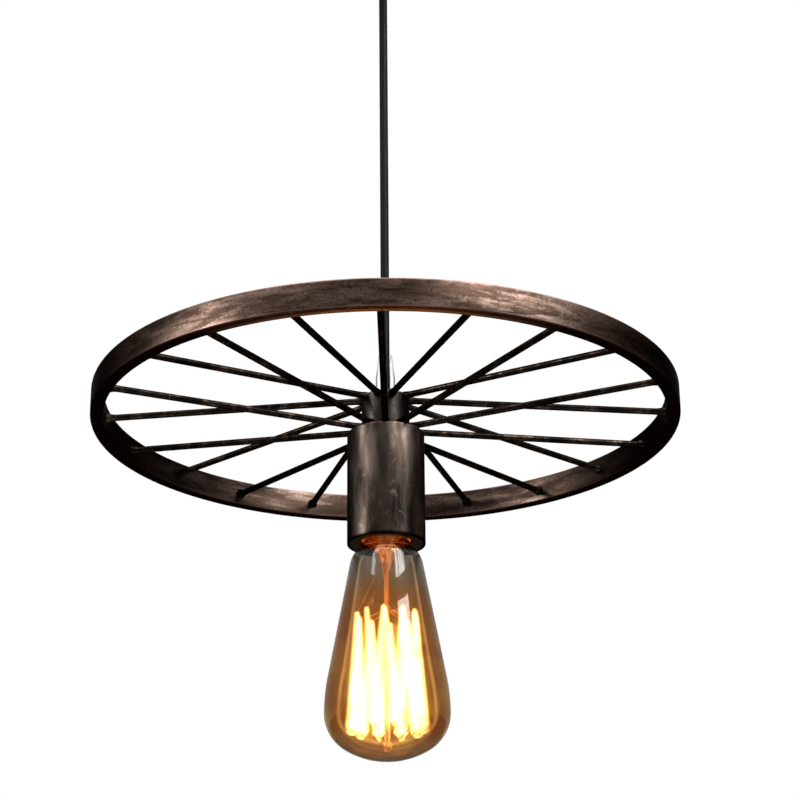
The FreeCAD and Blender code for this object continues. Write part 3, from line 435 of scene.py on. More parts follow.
def hoop_shade_and_glow(material, place, patch, colour, dark, hoop):
    """Painted shade on the hoop's two sides and its underside, a darker inner face, and a painted
    copper reflection of the bulb's glow under its front. The hoop is (inner radius, lowest height)
    in mm."""
    inner, low = hoop
    axes, radius = round_axis(material, place)
    inside = add(material, "MapRange", between(radius, inner + 0.6, inner + 1.6, 0.45, 0.0))
    # painted shade: darker towards the hoop's left and right ends, where the lamps light it least
    painted_side_shade = add(material, "Math", {0: axes.outputs["X"]}, operation="ABSOLUTE")
    cloudy = add(material, "Math", {0: patch, 1: CLOUDY_BORDER * MM}, operation="MULTIPLY")
    painted_side_shade = add(material, "Math", {0: painted_side_shade, 1: cloudy}, operation="ADD")
    painted_side_shade = add(material, "MapRange", between(painted_side_shade, SIDE_SHADE_START, SIDE_SHADE_END, 0.0, 0.85))
    colour = add(material, "Mix", {0: inside, 6: colour, 7: dark}, data_type="RGBA")
    colour = add(material, "Mix", {0: painted_side_shade, 6: colour, 7: "#181412"}, data_type="RGBA")
    # painted reflection: copper-orange under the front, near the inner edge, for the bulb's warm
    # glow; the rest of the underside is painted in shade
    forward = between(axes.outputs["Y"], FRONT_GLOW_START, FRONT_GLOW_END)
    front = add(material, "MapRange", forward)
    cloudy = add(material, "Math", {0: patch, 1: 0.2}, operation="ADD")
    painted_glow = add(material, "Math", {0: front, 1: cloudy}, operation="MULTIPLY", use_clamp=True)
    rubbed = add(material, "MapRange", between(radius, inner + 2.6, inner + 4.2, 1.0, 0.15))
    painted_glow = add(material, "Math", {0: painted_glow, 1: rubbed}, operation="MULTIPLY")
    under = add(material, "Mix", {0: painted_glow, 6: "#2C1B16", 7: "#E0A47A"}, data_type="RGBA")
    foot = add(material, "MapRange", between(axes.outputs["Z"], low + 0.15, low + 0.75, 0.95, 0.0))
    return add(material, "Mix", {0: foot, 6: colour, 7: under}, data_type="RGBA")


# %% [markdown]
# The wax lies on black paint, so the finish sends back less light at a slanting angle than bare
# metal does. The shader's specular tint, the same all over, takes that light away.

# %% Aged bronze finish
GRAZING = "#857F7A"
BRONZE_ROUGH = 0.38


def aged_bronze(name, dark, brown, copper, copper_share, edges=(), stretch=(1, 1, 1), hoop=None):
    """Near-black paint under bronze wax: clouds, copper patches, speckle and worn edges. A hoop
    also gets painted shade and a painted copper glow from hoop_shade_and_glow."""
    material, place = new_material(name)
    drawn = add(material, "Mapping", {"Vector": place, "Scale": stretch})
    cloud = add(material, "TexNoise", clouds(drawn, 16.0, 5, 0.6, 0.3))
    patch = add(material, "TexNoise", clouds(drawn, 8.0, 7, 0.72, 0.5))
    speck = add(material, "TexNoise", clouds(place, 1.3, 3, 0.75))
    body = add(material, "ValToRGB", {"Fac": cloud}, stops=[(0.38, dark), (0.62, brown)])
    least = 0.96 - copper_share
    rubbed = add(material, "ValToRGB", {"Fac": patch}, stops=[(least, 0), (least + 0.2, 1)])
    grain = add(material, "Math", {0: speck, 1: 0.12}, operation="ADD")
    rubbed = add(material, "Math", {0: rubbed, 1: grain}, operation="MULTIPLY", use_clamp=True)
    colour = add(material, "Mix", {0: rubbed, 6: body, 7: copper}, data_type="RGBA")
    pits = add(material, "ValToRGB", {"Fac": speck}, stops=[(0.34, 0.8), (0.46, 0)])
    colour = add(material, "Mix", {0: pits, 6: colour, 7: dark}, data_type="RGBA")
    if edges:
        stops = [(0.34, 0), (0.62, 0.8)]
        colour = edge_wear(material, place, patch, colour, "#A8857B", edges, 1.9, 0.25, stops)
    if hoop is not None:
        colour = hoop_shade_and_glow(material, place, patch, colour, dark, hoop)
    rough = add(material, "ValToRGB", {"Fac": patch}, stops=[
        (0.3, BRONZE_ROUGH + 0.10), (0.7, BRONZE_ROUGH - 0.06),
    ])
    shader = add(material, "BsdfPrincipled", {
        "Base Color": colour, "Roughness": rough, "Metallic": 1.0, "Specular Tint": GRAZING,
    })
    height = add(material, "Math", {0: speck, 1: 0.6}, operation="MULTIPLY")
    height = add(material, "Math", {0: height, 1: patch}, operation="ADD")
    bump = add(material, "Bump", {"Height": height, "Strength": 0.3, "Distance": 0.12 * MM})
    return finish_material(material, shader, bump)

# %% [markdown]
# ## The rim
# A flat steel bar is rolled into a hoop and its joint ground smooth. Its section is a rectangle
# with the small round edges that rolled bar has. One outline, swung round the axis in 720 steps,
# keeps the big circle free of corners.

# %% Rim
RIM_RADIUS = 156.0
RIM_THICKNESS = 7.0
RIM_HEIGHT = 14.5
RIM_EDGE = 0.8
rim_inner = RIM_RADIUS - RIM_THICKNESS
rim_low = wheel_mm - RIM_HEIGHT / 2
rim_high = wheel_mm + RIM_HEIGHT / 2
rim_outline = rounded([
    (rim_inner, rim_low, RIM_EDGE),
    (RIM_RADIUS, rim_low, RIM_EDGE),
    (RIM_RADIUS, rim_high, RIM_EDGE),
    (rim_inner, rim_high, RIM_EDGE),
])
rim_edges = [(radius, z) for radius in (rim_inner, RIM_RADIUS) for z in (rim_low, rim_high)]
RIM_STRETCH = (0.24, 0.24, 1.2)
rim_bronze = aged_bronze(
    "rubbed_bronze_on_rolled_bar", "#211B17", "#564339", "#988074", 0.50,
    rim_edges, RIM_STRETCH, (rim_inner, rim_low),
)
rim_mesh = turned("rim_hoop", rim_outline, segments=720)
piece("rim_hoop", rim_mesh, rim_bronze, "wheel", "bronze_rim", "wheel_rim")

# %% [markdown]
# ## The spokes
# Each spoke is a 3.5 mm rod, high or low at the hub by turns, so that ten fit at each level. It
# is welded at both ends: the weld swells over the rod's last two millimetres and is a little
# lumpy. The rod is a circle carried along its line, whose radius grows towards each end by a
# bell curve, with a ripple round it that differs from weld to weld.

# %% Spokes
SPOKE_COUNT = 20
SPOKE_RADIUS = 1.75
SPOKE_HUB_LEVEL = 8.2
SPOKE_RIM_LEVEL = -0.5
HUB_RADIUS = 12.75
WELD_SWELL = 1.0
WELD_WIDTH = 2.8
HUB_WELD_SWELL = 0.45
SPOKE_SIDES = 20
HUB_OVERLAP = 0.3
RIM_OVERLAP = 0.15


def spoke_mesh(number):
    """Circle of radius r(s) = rod + swell * exp(-(s / width) ** 2) at each end, s from that end;
    the rim's weld is rippled by 1 + 0.14 sin(3 a + phase) + 0.08 sin(5 a + 2 phase)."""
    turn = math.radians(360 * number / SPOKE_COUNT - 90)
    out = np.array([math.cos(turn), math.sin(turn), 0.0])
    level = SPOKE_HUB_LEVEL if number % 2 else -SPOKE_HUB_LEVEL
    inner = out * (HUB_RADIUS - HUB_OVERLAP) + [0, 0, wheel_mm + level]
    # the CAD rod's line runs from a point inside the hub to the rim's outer face
    slope = (SPOKE_RIM_LEVEL - level) / (RIM_RADIUS - HUB_RADIUS + SPOKE_RADIUS)
    outer_level = wheel_mm + level + slope * (rim_inner - HUB_RADIUS)
    outer = out * (rim_inner + RIM_OVERLAP) + [0, 0, outer_level]
    length = np.linalg.norm(outer - inner)
    ends = np.linspace(0, 3 * WELD_WIDTH, 14)
    along = np.unique(np.r_[ends, np.linspace(ends[-1], length - ends[-1], 8), length - ends])
    from_hub = np.exp(-(along / WELD_WIDTH) ** 2)[:, None]
    from_rim = np.exp(-((length - along) / WELD_WIDTH) ** 2)[:, None]
    path = inner + (outer - inner) * (along / length)[:, None]
    around = np.linspace(0, 2 * np.pi, SPOKE_SIDES, endpoint=False)
    phase = number * 2.4
    ripple = 1 + 0.14 * np.sin(3 * around + phase) + 0.08 * np.sin(5 * around + 2 * phase)
    radius = SPOKE_RADIUS + HUB_WELD_SWELL * from_hub + WELD_SWELL * from_rim * ripple
    tangent = (outer - inner) / length
    sideways = np.cross([0, 0, 1], tangent)
    sideways = sideways / np.linalg.norm(sideways)
    upward = np.cross(tangent, sideways)
    ring = np.cos(around)[:, None] * sideways + np.sin(around)[:, None] * upward
    points = path[:, None] + ring[None] * radius[..., None]
    caps = [np.repeat(end[None, None], SPOKE_SIDES, 1) for end in (inner, outer)]
    points = np.concatenate([caps[0], points, caps[1]])
    return grid_mesh("spoke_rod_%02d" % (number + 1), points * MM, wrap_columns=True, sharp=50.0)


spoke_bronze = aged_bronze("rubbed_bronze_on_drawn_rod", "#110F0D", "#28211D", "#6E5A4D", 0.45)
for number in range(SPOKE_COUNT):
    ending = "%02d" % (number + 1)
    rod = spoke_mesh(number)
    piece("spoke_rod_" + ending, rod, spoke_bronze, "wheel", "bronze_spokes", "spoke_" + ending)
print(SPOKE_COUNT, "spokes")

# %% [markdown]
# ## Hub and socket cup
# The hub is a turned steel boss. The cup under it is spun from sheet: a straight wall, a small
# radius round its top and a rolled lower lip. Hands have rubbed the cup up and down, so its
# wear is drawn as soft upright streaks: noise squeezed round the cup and stretched along it.

# %% Streaked bronze
# how far up from the mouth the painted shade reaches, in mm
SHADED_LIP_HEIGHT = 4.0


def streaked_bronze(name, dark, brown, pale, edges):
    """Dark bronze with upright rubbed streaks, fine scratches, worn edges, and its lip painted
    black as shade.
    """
    material, place = new_material(name)
    tall = add(material, "Mapping", {"Vector": place, "Scale": (1, 1, 0.22)})
    streak = add(material, "TexNoise", clouds(tall, 9.0, 5, 0.55, 0.3))
    scratch = add(material, "TexNoise", clouds(tall, 0.8, 4, 0.75))
    patch = add(material, "TexNoise", clouds(place, 7.0, 6, 0.7, 0.8))
    colour = add(material, "ValToRGB", {"Fac": streak}, stops=[
        (0.34, dark), (0.52, brown), (0.74, pale),
    ])
    worn = add(material, "ValToRGB", {"Fac": patch}, stops=[(0.58, 0), (0.70, 0.5)])
    colour = add(material, "Mix", {0: worn, 6: colour, 7: pale}, data_type="RGBA")
    cuts = add(material, "ValToRGB", {"Fac": scratch}, stops=[(0.64, 0), (0.76, 0.4)])
    colour = add(material, "Mix", {0: cuts, 6: colour, 7: "#7C6A60"}, data_type="RGBA")
    stops = [(0.36, 0), (0.66, 0.9)]
    colour = edge_wear(material, place, patch, colour, "#A08070", edges, 1.6, 0.3, stops)
    # painted shade: the cup's lowest few mm, round its mouth, are painted near black
    height = add(material, "SeparateXYZ", {"Vector": place}).outputs["Z"]
    painted_shade_lip = add(material, "MapRange", between(height, cup_low, cup_low + SHADED_LIP_HEIGHT))
    painted_shade_lip = add(material, "ValToRGB", {"Fac": painted_shade_lip}, stops=[(0.12, 1), (0.5, 0)])
    colour = add(material, "Mix", {0: painted_shade_lip, 6: colour, 7: "#070504"}, data_type="RGBA")
    rough = add(material, "ValToRGB", {"Fac": streak}, stops=[(0.3, 0.46), (0.7, 0.34)])
    shader = add(material, "BsdfPrincipled", {
        "Base Color": colour, "Roughness": rough, "Metallic": 1.0, "Specular Tint": GRAZING,
    })
    bump = add(material, "Bump", {"Height": scratch, "Strength": 0.2, "Distance": 0.1 * MM})
    return finish_material(material, shader, bump)


# %% Hub
NIPPLE_HOLE = 5.05
STUB_HOLE = 4.08
HUB_STEP = 12.0
HUB_EDGE = 0.8
hub_outline = rounded([
    (NIPPLE_HOLE, hub_low, 0),
    (HUB_RADIUS, hub_low, HUB_EDGE),
    (HUB_RADIUS, hub_top, HUB_EDGE),
    (STUB_HOLE, hub_top, 0),
    (STUB_HOLE, hub_low + HUB_STEP, 0),
    (NIPPLE_HOLE, hub_low + HUB_STEP, 0),
])
hub_bronze = aged_bronze(
    "rubbed_bronze_on_turned_boss", "#221F1D", "#443E3B", "#68605B", 0.36,
    [(HUB_RADIUS, hub_low), (HUB_RADIUS, hub_top)],
)
piece("hub_boss", turned("hub_boss", hub_outline), hub_bronze, "wheel", "bronze_hub", "wheel_hub")

# %% Socket cup
CUP_RADIUS = 20.5
CUP_WALL = 1.0
CUP_TOP_EDGE = 1.0
CUP_HOLE = 5.15
cup_outline = rounded([
    (CUP_RADIUS - CUP_WALL, cup_low, 0.35),
    (CUP_RADIUS, cup_low, 0.45),
    (CUP_RADIUS, cup_top, CUP_TOP_EDGE),
    (CUP_HOLE, cup_top, 0),
    (CUP_HOLE, cup_top - CUP_WALL, 0),
    (CUP_RADIUS - CUP_WALL, cup_top - CUP_WALL, 0.2),
])
cup_bronze = streaked_bronze(
    "rubbed_bronze_on_spun_cup", "#1E1A17", "#4C423C", "#8C7C72", [(CUP_RADIUS, cup_top)],
)
cup_mesh = turned("socket_cup_shell", cup_outline)
piece("socket_cup_shell", cup_mesh, cup_bronze, "wheel", "bronze_cup", "socket_cup")

# %% [markdown]
# ## The clear grip on the hub
# A small clear plastic grip screws into the hub and holds the cord, with a slim neck that lets
# it bend. Its inside is hollow, so it is a closed outline too: out along the stub and the
# shoulder, and back down the bore.

# %% Clear grip
GRIP_STUB = 4.0
GRIP_BARREL = 5.2
GRIP_NECK = 3.7
GRIP_BORE = 2.65
GRIP_BARREL_HEIGHT = 11.0
GRIP_SHOULDER_HEIGHT = 17.0
GRIP_FLARE = 4.0
GRIP_FLARE_WALL = 0.45
grip_outline = rounded([
    (GRIP_BORE, grip_low, 0),
    (GRIP_STUB, grip_low, 0.3),
    (GRIP_STUB, hub_top + 0.1, 0),
    (GRIP_BARREL, hub_top + 0.1, 0.3),
    (GRIP_BARREL, hub_top + GRIP_BARREL_HEIGHT, 3.0),
    ((GRIP_BARREL + GRIP_NECK) / 2, hub_top + GRIP_SHOULDER_HEIGHT, 2.0),
    (GRIP_NECK, grip_top, 0.15),
    (GRIP_NECK - GRIP_FLARE_WALL, grip_top, 0.1),
    (GRIP_BORE, grip_top - GRIP_FLARE, 0),
])


def clear_plastic():
    """Clear moulded plastic: its wall is thin, so what is behind it shows straight through, and
    only near its outline does it bend the light; there its colour is painted grey as shade. The
    neck is thinner still."""
    material, place = new_material("clear_moulded_polycarbonate")
    height = add(material, "SeparateXYZ", {"Vector": place}).outputs["Z"]
    facing = add(material, "LayerWeight", {"Blend": 0.5}).outputs["Facing"]
    # painted shade: the colour turns grey, then dark grey, towards the outline
    tint = add(material, "ValToRGB", {"Fac": facing}, stops=[
        (0.40, "#FFFFFF"), (0.66, "#A4A9AB"), (0.90, "#484C4E"),
    ])
    bent = add(material, "BsdfPrincipled", {
        "Base Color": tint, "Roughness": 0.06, "IOR": 1.49, "Transmission Weight": 1.0,
    })
    straight = add(material, "BsdfTransparent", {"Color": tint})
    edge = add(material, "ValToRGB", {"Fac": facing}, stops=[(0.55, 0), (0.85, 0.5)])
    barrel = add(material, "MixShader", {0: edge, 1: straight, 2: bent})
    thin = add(material, "BsdfTransparent", {"Color": "#FFFFFF"})
    neck = add(material, "MapRange", between(
        height, hub_top + GRIP_BARREL_HEIGHT, hub_top + GRIP_SHOULDER_HEIGHT, 1.0, 0.4,
    ))
    shader = add(material, "MixShader", {0: neck, 1: thin, 2: barrel})
    return finish_material(material, shader)


grip_mesh = turned("clear_cord_grip", grip_outline, 96)
piece("clear_cord_grip", grip_mesh, clear_plastic(), "hub_grip", "clear_grip", "hub_cord_grip")

# %% [markdown]
# ## The lamp's screw thread
# The cap and the shell that takes it are both pressed from thin brass with a round knuckle
# thread, 3.62 mm to a turn. A thread is one wave wound round the axis: the radius at angle t and
# height z is the mean plus half the depth times cos(2 pi z / pitch - t). Cap and shell use the
# same wave, so they stay in mesh at every turn of the bulb.

# %% Threads
PITCH = 3.62
THREAD_DEPTH = 0.9
SHELL_MEAN = 13.42
CAP_MEAN = 12.65
SHEET = 0.3
THREAD_STEP = 0.18
THREAD_FADE = 1.5
SHELL_GAP = 0.05


def threaded_tube(name, low, high, mean, wall, segments=128):
    """Two faces, wall apart, of r = mean + depth / 2 * fade(z) * cos(2 pi z / pitch - t);
    fade runs from 0 to 1 over the first and last 1.5 mm so that both rims are round."""
    z = np.linspace(low, high, int((high - low) / THREAD_STEP))
    fade = np.clip(np.minimum(z - low, high - z) / THREAD_FADE, 0, 1)
    turn = np.linspace(0, 2 * np.pi, segments, endpoint=False)
    wave = np.cos(2 * np.pi * z[None] / PITCH - turn[:, None]) * fade[None] * THREAD_DEPTH / 2
    radius = np.concatenate([mean + wave, (mean + wave - wall)[:, ::-1]], axis=1)
    level = np.broadcast_to(np.r_[z, z[::-1]], radius.shape)
    x, y = np.cos(turn)[:, None] * radius, np.sin(turn)[:, None] * radius
    points = np.stack([x, y, level], axis=-1)
    return grid_mesh(name, points * MM, wrap_rows=True, wrap_columns=True, sharp=60.0)


# pressed brass: yellow and bright, browned by tarnish in clouds, with fine lines from the press;
# the shell's alloy is redder and duller, and its orange also paints the glow of the lit bulb on it
brass = cloudy_finish(
    "stamped_brass", [(0.35, "#D9A055"), (0.75, "#A8683A")], [(0.3, 0.28), (0.8, 0.48)],
    cloud=(5.0, 4), grain=(0.3, 2), bump=0.12, Metallic=0.7,
)
copper = cloudy_finish(
    "stamped_copper_alloy", [(0.35, "#D07A40"), (0.75, "#A85A2C")], [(0.3, 0.42), (0.8, 0.62)],
    cloud=(5.0, 4), grain=(0.3, 2), bump=0.12, Metallic=0.4,
)
shell_low, shell_high = heights("lampholder_screw_shell")
SHELL_OUTER = 14.0
SHELL_END_BORE = 8.5
SHELL_END_SHEET = 0.5
shell_end = rounded([
    (SHELL_END_BORE, shell_high - SHELL_END_SHEET, 0),
    (SHELL_OUTER - 0.2, shell_high - SHELL_END_SHEET, 0),
    (SHELL_OUTER - 0.2, shell_high, 0.15),
    (SHELL_END_BORE, shell_high, 0),
])
shell_wall_high = shell_high - SHELL_END_SHEET - SHELL_GAP
shell_mesh = join_meshes("screw_shell_threaded", [
    threaded_tube("shell_wall", shell_low, shell_wall_high, SHELL_MEAN, SHEET),
    turned("shell_end", shell_end, 128),
])
piece("screw_shell_threaded", shell_mesh, copper, "wheel", "brass", "lampholder_screw_shell")

CAP_SHOULDER = 1.6
cap_shoulder = np.array([
    (CAP_MEAN, cap_high - CAP_SHOULDER),
    (CAP_MEAN - 0.25, cap_high - 0.5),
    (CAP_MEAN - 0.9, cap_high),
    (CAP_MEAN - 1.2, cap_high),
    (CAP_MEAN - 1.2, cap_high - 0.3),
    (CAP_MEAN - SHEET, cap_high - CAP_SHOULDER),
])
cap_mesh = join_meshes("screw_cap_threaded", [
    threaded_tube("cap_wall", cap_low, cap_high - CAP_SHOULDER, CAP_MEAN, SHEET),
    turned("cap_shoulder", cap_shoulder, 128),
])
piece("screw_cap_threaded", cap_mesh, brass, "bulb", "brass", "bulb_cap")

# %% [markdown]
# ## Lampholder
# The lampholder is pressed from black phenolic powder. Only its ring shows, inside the cup's mouth,
# where the bulb's heat has dulled it.

# %% Lampholder body
HOLDER_RADIUS = 19.3
HOLDER_BORE = 14.05
HOLDER_CAVITY = 12.5
HOLDER_CAVITY_DEPTH = 10.5
HOLDER_FLOOR = 10.5
holder_low, holder_high = heights("lampholder_body")
holder_outline = rounded([
    (HOLDER_CAVITY, holder_high, 0),
    (HOLDER_CAVITY, holder_high - HOLDER_CAVITY_DEPTH, 0),
    (0, holder_high - HOLDER_CAVITY_DEPTH, 0),
    (0, holder_high - HOLDER_CAVITY_DEPTH - HOLDER_FLOOR, 0),
    (HOLDER_BORE, holder_high - HOLDER_CAVITY_DEPTH - HOLDER_FLOOR, 0),
    (HOLDER_BORE, holder_low, 0.9),
    (HOLDER_RADIUS, holder_low, 0.5),
    (HOLDER_RADIUS, holder_high, 0.5),
])
# phenolic: nearly black, and dull, so that only its form shows
black_phenolic = cloudy_finish(
    "moulded_black_phenolic", [(0.3, "#040303"), (0.7, "#0A0807")], [(0.3, 0.62), (0.7, 0.74)],
    cloud=(3.0, 4), grain=(0.7, 3), bump=0.1, IOR=1.6, Specular_IOR_Level=0.12,
)
holder_mesh = turned("lampholder_moulding", holder_outline, 160)
piece("lampholder_moulding", holder_mesh, black_phenolic, "wheel", "bakelite", "lampholder_body")

# %% [markdown]
# ## The bulb's glass
# The envelope is blown into a mould: a short neck, a round shoulder, a long straight taper, a
# belly that turns slowly upright, and a dome of two arcs. All of these arcs are tangent, and the
# inner face is the same line drawn inwards by the glass's thickness.

# %% Glass outline
GLASS_WALL = 0.8
GLASS_RADIUS = 32.0
NECK_RADIUS = 12.3
THROAT = 3.2
SHOULDER_TURN = math.radians(60.0)
TAPER = math.radians(10.7)
BELLY_RADIUS = 100.0
DOME_HEIGHT = 24.0
CROWN_RADIUS = 42.0


def arc(centre, radius, start, end, steps):
    """Points c + r (cos a, sin a) for a from start to end."""
    angle = np.linspace(start, end, steps)
    return np.array(centre) + radius * np.stack([np.cos(angle), np.sin(angle)], axis=1)


def glass_line(inset):
    """Half outline from the neck down to the pole, drawn inwards by inset."""
    dome_z = glass_low + DOME_HEIGHT
    belly_centre = np.array([GLASS_RADIUS - BELLY_RADIUS, dome_z])
    taper_low = belly_centre + BELLY_RADIUS * np.array([math.cos(TAPER), math.sin(TAPER)])
    neck_low = np.array([NECK_RADIUS, cap_low - THROAT])
    spread = taper_low[0] - math.tan(TAPER) * (neck_low[1] - taper_low[1]) - neck_low[0]
    share = math.cos(TAPER) - math.cos(SHOULDER_TURN)
    share += math.tan(TAPER) * (math.sin(TAPER) - math.sin(SHOULDER_TURN))
    shoulder = spread / share
    upper = np.array([math.cos(SHOULDER_TURN), math.sin(SHOULDER_TURN)])
    shoulder_centre = neck_low - shoulder * upper
    corner = 2 * DOME_HEIGHT * CROWN_RADIUS - GLASS_RADIUS ** 2 - DOME_HEIGHT ** 2
    corner = corner / (2 * (CROWN_RADIUS - GLASS_RADIUS))
    corner_centre = np.array([GLASS_RADIUS - corner, dome_z])
    crown_centre = np.array([0, glass_low + CROWN_RADIUS])
    meeting = math.atan2(corner_centre[1] - crown_centre[1], corner_centre[0])
    neck_levels = [glass_high, (glass_high + neck_low[1]) / 2]
    neck = np.array([[NECK_RADIUS - inset, level] for level in neck_levels])
    return np.vstack([
        neck,
        arc(shoulder_centre, shoulder - inset, SHOULDER_TURN, TAPER, 18),
        arc(belly_centre, BELLY_RADIUS - inset, TAPER, 0, 14),
        arc(corner_centre, corner - inset, 0, meeting, 20)[1:],
        arc(crown_centre, CROWN_RADIUS - inset, meeting, -math.pi / 2, 16)[1:],
    ])


# %% [markdown]
# The glass is stained amber; towards the neck it is cleaner, and looks smoky. The stain could be a
# colour inside the wall's volume, but a wall as thin as this one shows the same when its surface
# is tinted, and renders with less noise.

# %% Amber glass
def let_light_out(material, glass, colour):
    """The filament's light has to leave the glass, so shadow rays pass straight through."""
    clear = add(material, "BsdfTransparent", {"Color": colour})
    shadow = add(material, "LightPath").outputs["Is Shadow Ray"]
    both = add(material, "MixShader", {0: shadow, 1: glass, 2: clear})
    return finish_material(material, both)


def amber_glass():
    """Blown soda glass, stained amber and smoky at the neck. A slanting line of sight passes
    through more stain, so the tint deepens towards the outline. A pale band of light is painted
    down each side, where the wall's inner face turns away, with darker lines beside it."""
    material, place = new_material("blown_amber_soda_glass")
    height = add(material, "SeparateXYZ", {"Vector": place}).outputs["Z"]
    up = add(material, "MapRange", between(height, glass_low, cup_low))
    tint = add(material, "ValToRGB", {"Fac": up}, stops=[
        (0.05, "#E4BC70"), (0.40, "#D9AA60"), (0.72, "#C6965E"), (0.86, "#ACA398"),
    ])
    cloud = add(material, "TexNoise", clouds(place, 26.0, detail=2))
    stain = add(material, "ValToRGB", {"Fac": cloud}, stops=[(0.50, 0), (0.60, 0.75)])
    low = add(material, "ValToRGB", {"Fac": up}, stops=[(0.55, 1), (0.72, 0)])
    stain = add(material, "Math", {0: stain, 1: low}, operation="MULTIPLY")
    tint = add(material, "Mix", {0: stain, 6: tint, 7: "#BC7C48"}, data_type="RGBA")
    facing = add(material, "LayerWeight", {"Blend": 0.5}).outputs["Facing"]
    # deeper tint towards the outline for the longer path through the stain; the same ramp lifts a
    # painted highlight band and darkens a line beside it
    slant_tint_and_painted_band = add(material, "ValToRGB", {"Fac": facing}, stops=[
        (0.12, 0.95), (0.28, 0.80), (0.33, 0.62), (0.36, 1.0), (0.40, 1.0), (0.43, 0.54),
        (0.85, 0.46),
    ])
    # painted highlight: a pale band down each side of the bulb
    painted_highlight_band = add(material, "ValToRGB", {"Fac": facing}, stops=[
        (0.335, 0), (0.365, 0.7), (0.395, 0.7), (0.425, 0),
    ])
    tint = add(material, "Mix", {0: painted_highlight_band, 6: tint, 7: "#FFE9C8"}, data_type="RGBA")
    settings = {"data_type": "RGBA", "blend_type": "MULTIPLY"}
    deep = add(material, "Mix", {0: 1.0, 6: tint, 7: slant_tint_and_painted_band}, **settings)
    common = {"Base Color": deep, "IOR": 1.45, "Transmission Weight": 1.0}
    sharp = add(material, "BsdfPrincipled", {**common, "Roughness": 0.0})
    soft = add(material, "BsdfPrincipled", {**common, "Roughness": 0.12})
    glass = add(material, "MixShader", {0: 0.15, 1: sharp, 2: soft})
    return let_light_out(material, glass, "#F2D9B8")


outer_line = glass_line(0)
inner_line = glass_line(GLASS_WALL)
outer_line[-1, 0] = 0
inner_line[-1, 0] = 0
glass_outline = np.vstack([outer_line, inner_line[::-1]])
glass_mesh = turned("blown_glass", glass_outline, 160, sharp=60)
piece("blown_glass", glass_mesh, amber_glass(), "bulb", "amber_glass", "bulb_glass")

# %% [markdown]
# ## Inside the bulb
# A flared glass stem is melted to the neck. From its pinch a glass rod runs down the middle, with
# a bead near each end. All of that is one outline, turned on the lamp's axis.

# %% Stem
STEM_FLARE = 6.2
STEM_CONE_TOP = 5.0
STEM_CONE_LENGTH = 13.0
STEM_ROD = 1.4
STEM_TUBE = 4.0
SEAL_GAP = 0.05
SEAL_THICKNESS = 0.8
SEAL_HEIGHT = 3.5
BEAD = 2.4
CAGE_TOP = 39.5
CAGE_HEIGHT = 59.0
STAR_DROP = 10.0
cage_top = cap_low - CAGE_TOP
cage_bottom = cage_top - CAGE_HEIGHT
star_mm = cage_bottom - STAR_DROP
bead_mm = cage_top + BEAD
cone_top = cap_low - STEM_CONE_TOP
cone_low = cone_top - STEM_CONE_LENGTH


def stem_line():
    """Outer line of the stem from the neck's seal to the rod's foot, with its two beads, each
    half a circle about the rod's axis, and back up inside the hollow flare."""
    reach = math.asin(STEM_ROD / BEAD)
    top = math.pi / 2 - reach
    upper_bead = arc((0, bead_mm), BEAD, top, -top, 12)
    low_bead = arc((0, star_mm), BEAD, top, -math.pi / 2, 12)
    low_bead[-1, 0] = 0
    flare = np.array([
        (NECK_RADIUS - GLASS_WALL - SEAL_GAP - SEAL_THICKNESS, glass_high),
        (NECK_RADIUS - GLASS_WALL - SEAL_GAP, glass_high),
        (STEM_TUBE + 1.2, cap_low + SEAL_HEIGHT),
        (STEM_TUBE, cap_low),
        (STEM_FLARE, cone_top),
        (STEM_FLARE * 0.72, cone_top - STEM_CONE_LENGTH * 0.35),
        (STEM_ROD * 1.5, cone_low + 1.5),
        (STEM_ROD, cone_low - 1.0),
    ])
    hollow = np.array([
        (0, cone_low + 1.5),
        (STEM_FLARE * 0.5, cone_top - STEM_CONE_LENGTH * 0.35),
        (STEM_FLARE - GLASS_WALL, cone_top),
        (STEM_TUBE - GLASS_WALL, cap_low),
        (STEM_TUBE + 0.4, cap_low + SEAL_HEIGHT),
    ])
    return np.vstack([flare, upper_bead, low_bead, hollow])


def clear_glass():
    """Drawn lead glass, clear, with upright streaks painted pale and amber for the light that its
    flare bends: so it is half a clear body and half a pale one."""
    material, place = new_material("drawn_clear_lead_glass")
    tall = add(material, "Mapping", {"Vector": place, "Scale": (1, 1, 0.12)})
    drawn = add(material, "TexNoise", clouds(tall, 1.6))
    # painted light: pale and amber upright streaks for the light the flared stem bends
    tint = add(material, "ValToRGB", {"Fac": drawn}, stops=[
        (0.40, "#C08458"), (0.48, "#FFE0C0"), (0.56, "#FFFFFF"),
    ])
    height = add(material, "SeparateXYZ", {"Vector": place}).outputs["Z"]
    levels = between(height, cone_low - 1.0, cone_low + 4.0, 0.45, 0.5)
    clearness = add(material, "MapRange", levels)
    glass = add(material, "BsdfPrincipled", {
        "Base Color": tint, "Roughness": 0.12, "IOR": 1.52, "Transmission Weight": clearness,
    })
    return let_light_out(material, glass, "#F6E6D4")


stem_mesh = turned("stem_and_rod", stem_line(), 64, sharp=50)
piece("stem_and_rod", stem_mesh, clear_glass(), "bulb", "stem_glass", "bulb_stem")

# %% [markdown]
# One wire is strung down and up nine times, round the axis: the squirrel cage. When it is lit,
# its coils blur into a bright line with a glow round it. The glow is drawn as a thick, soft
# tube, because its shape then stays in the bulb from every side, which a glare added to the
# picture does not.

# %% Filament
CAGE_RADIUS = 17.5
CAGE_TOP_RADIUS = 15.5
# places for corners all the way round; the last one stays empty, between the wire's two ends
CAGE_PLACES = 20
CAGE_TURN = math.radians(230.0)
GLOW_TOP = 1.7
GLOW_BOTTOM = 4.3
HOOK_BEND = 1.1
GLOW_STRENGTH = 18.0
GLOW_GROWTH = 0.6


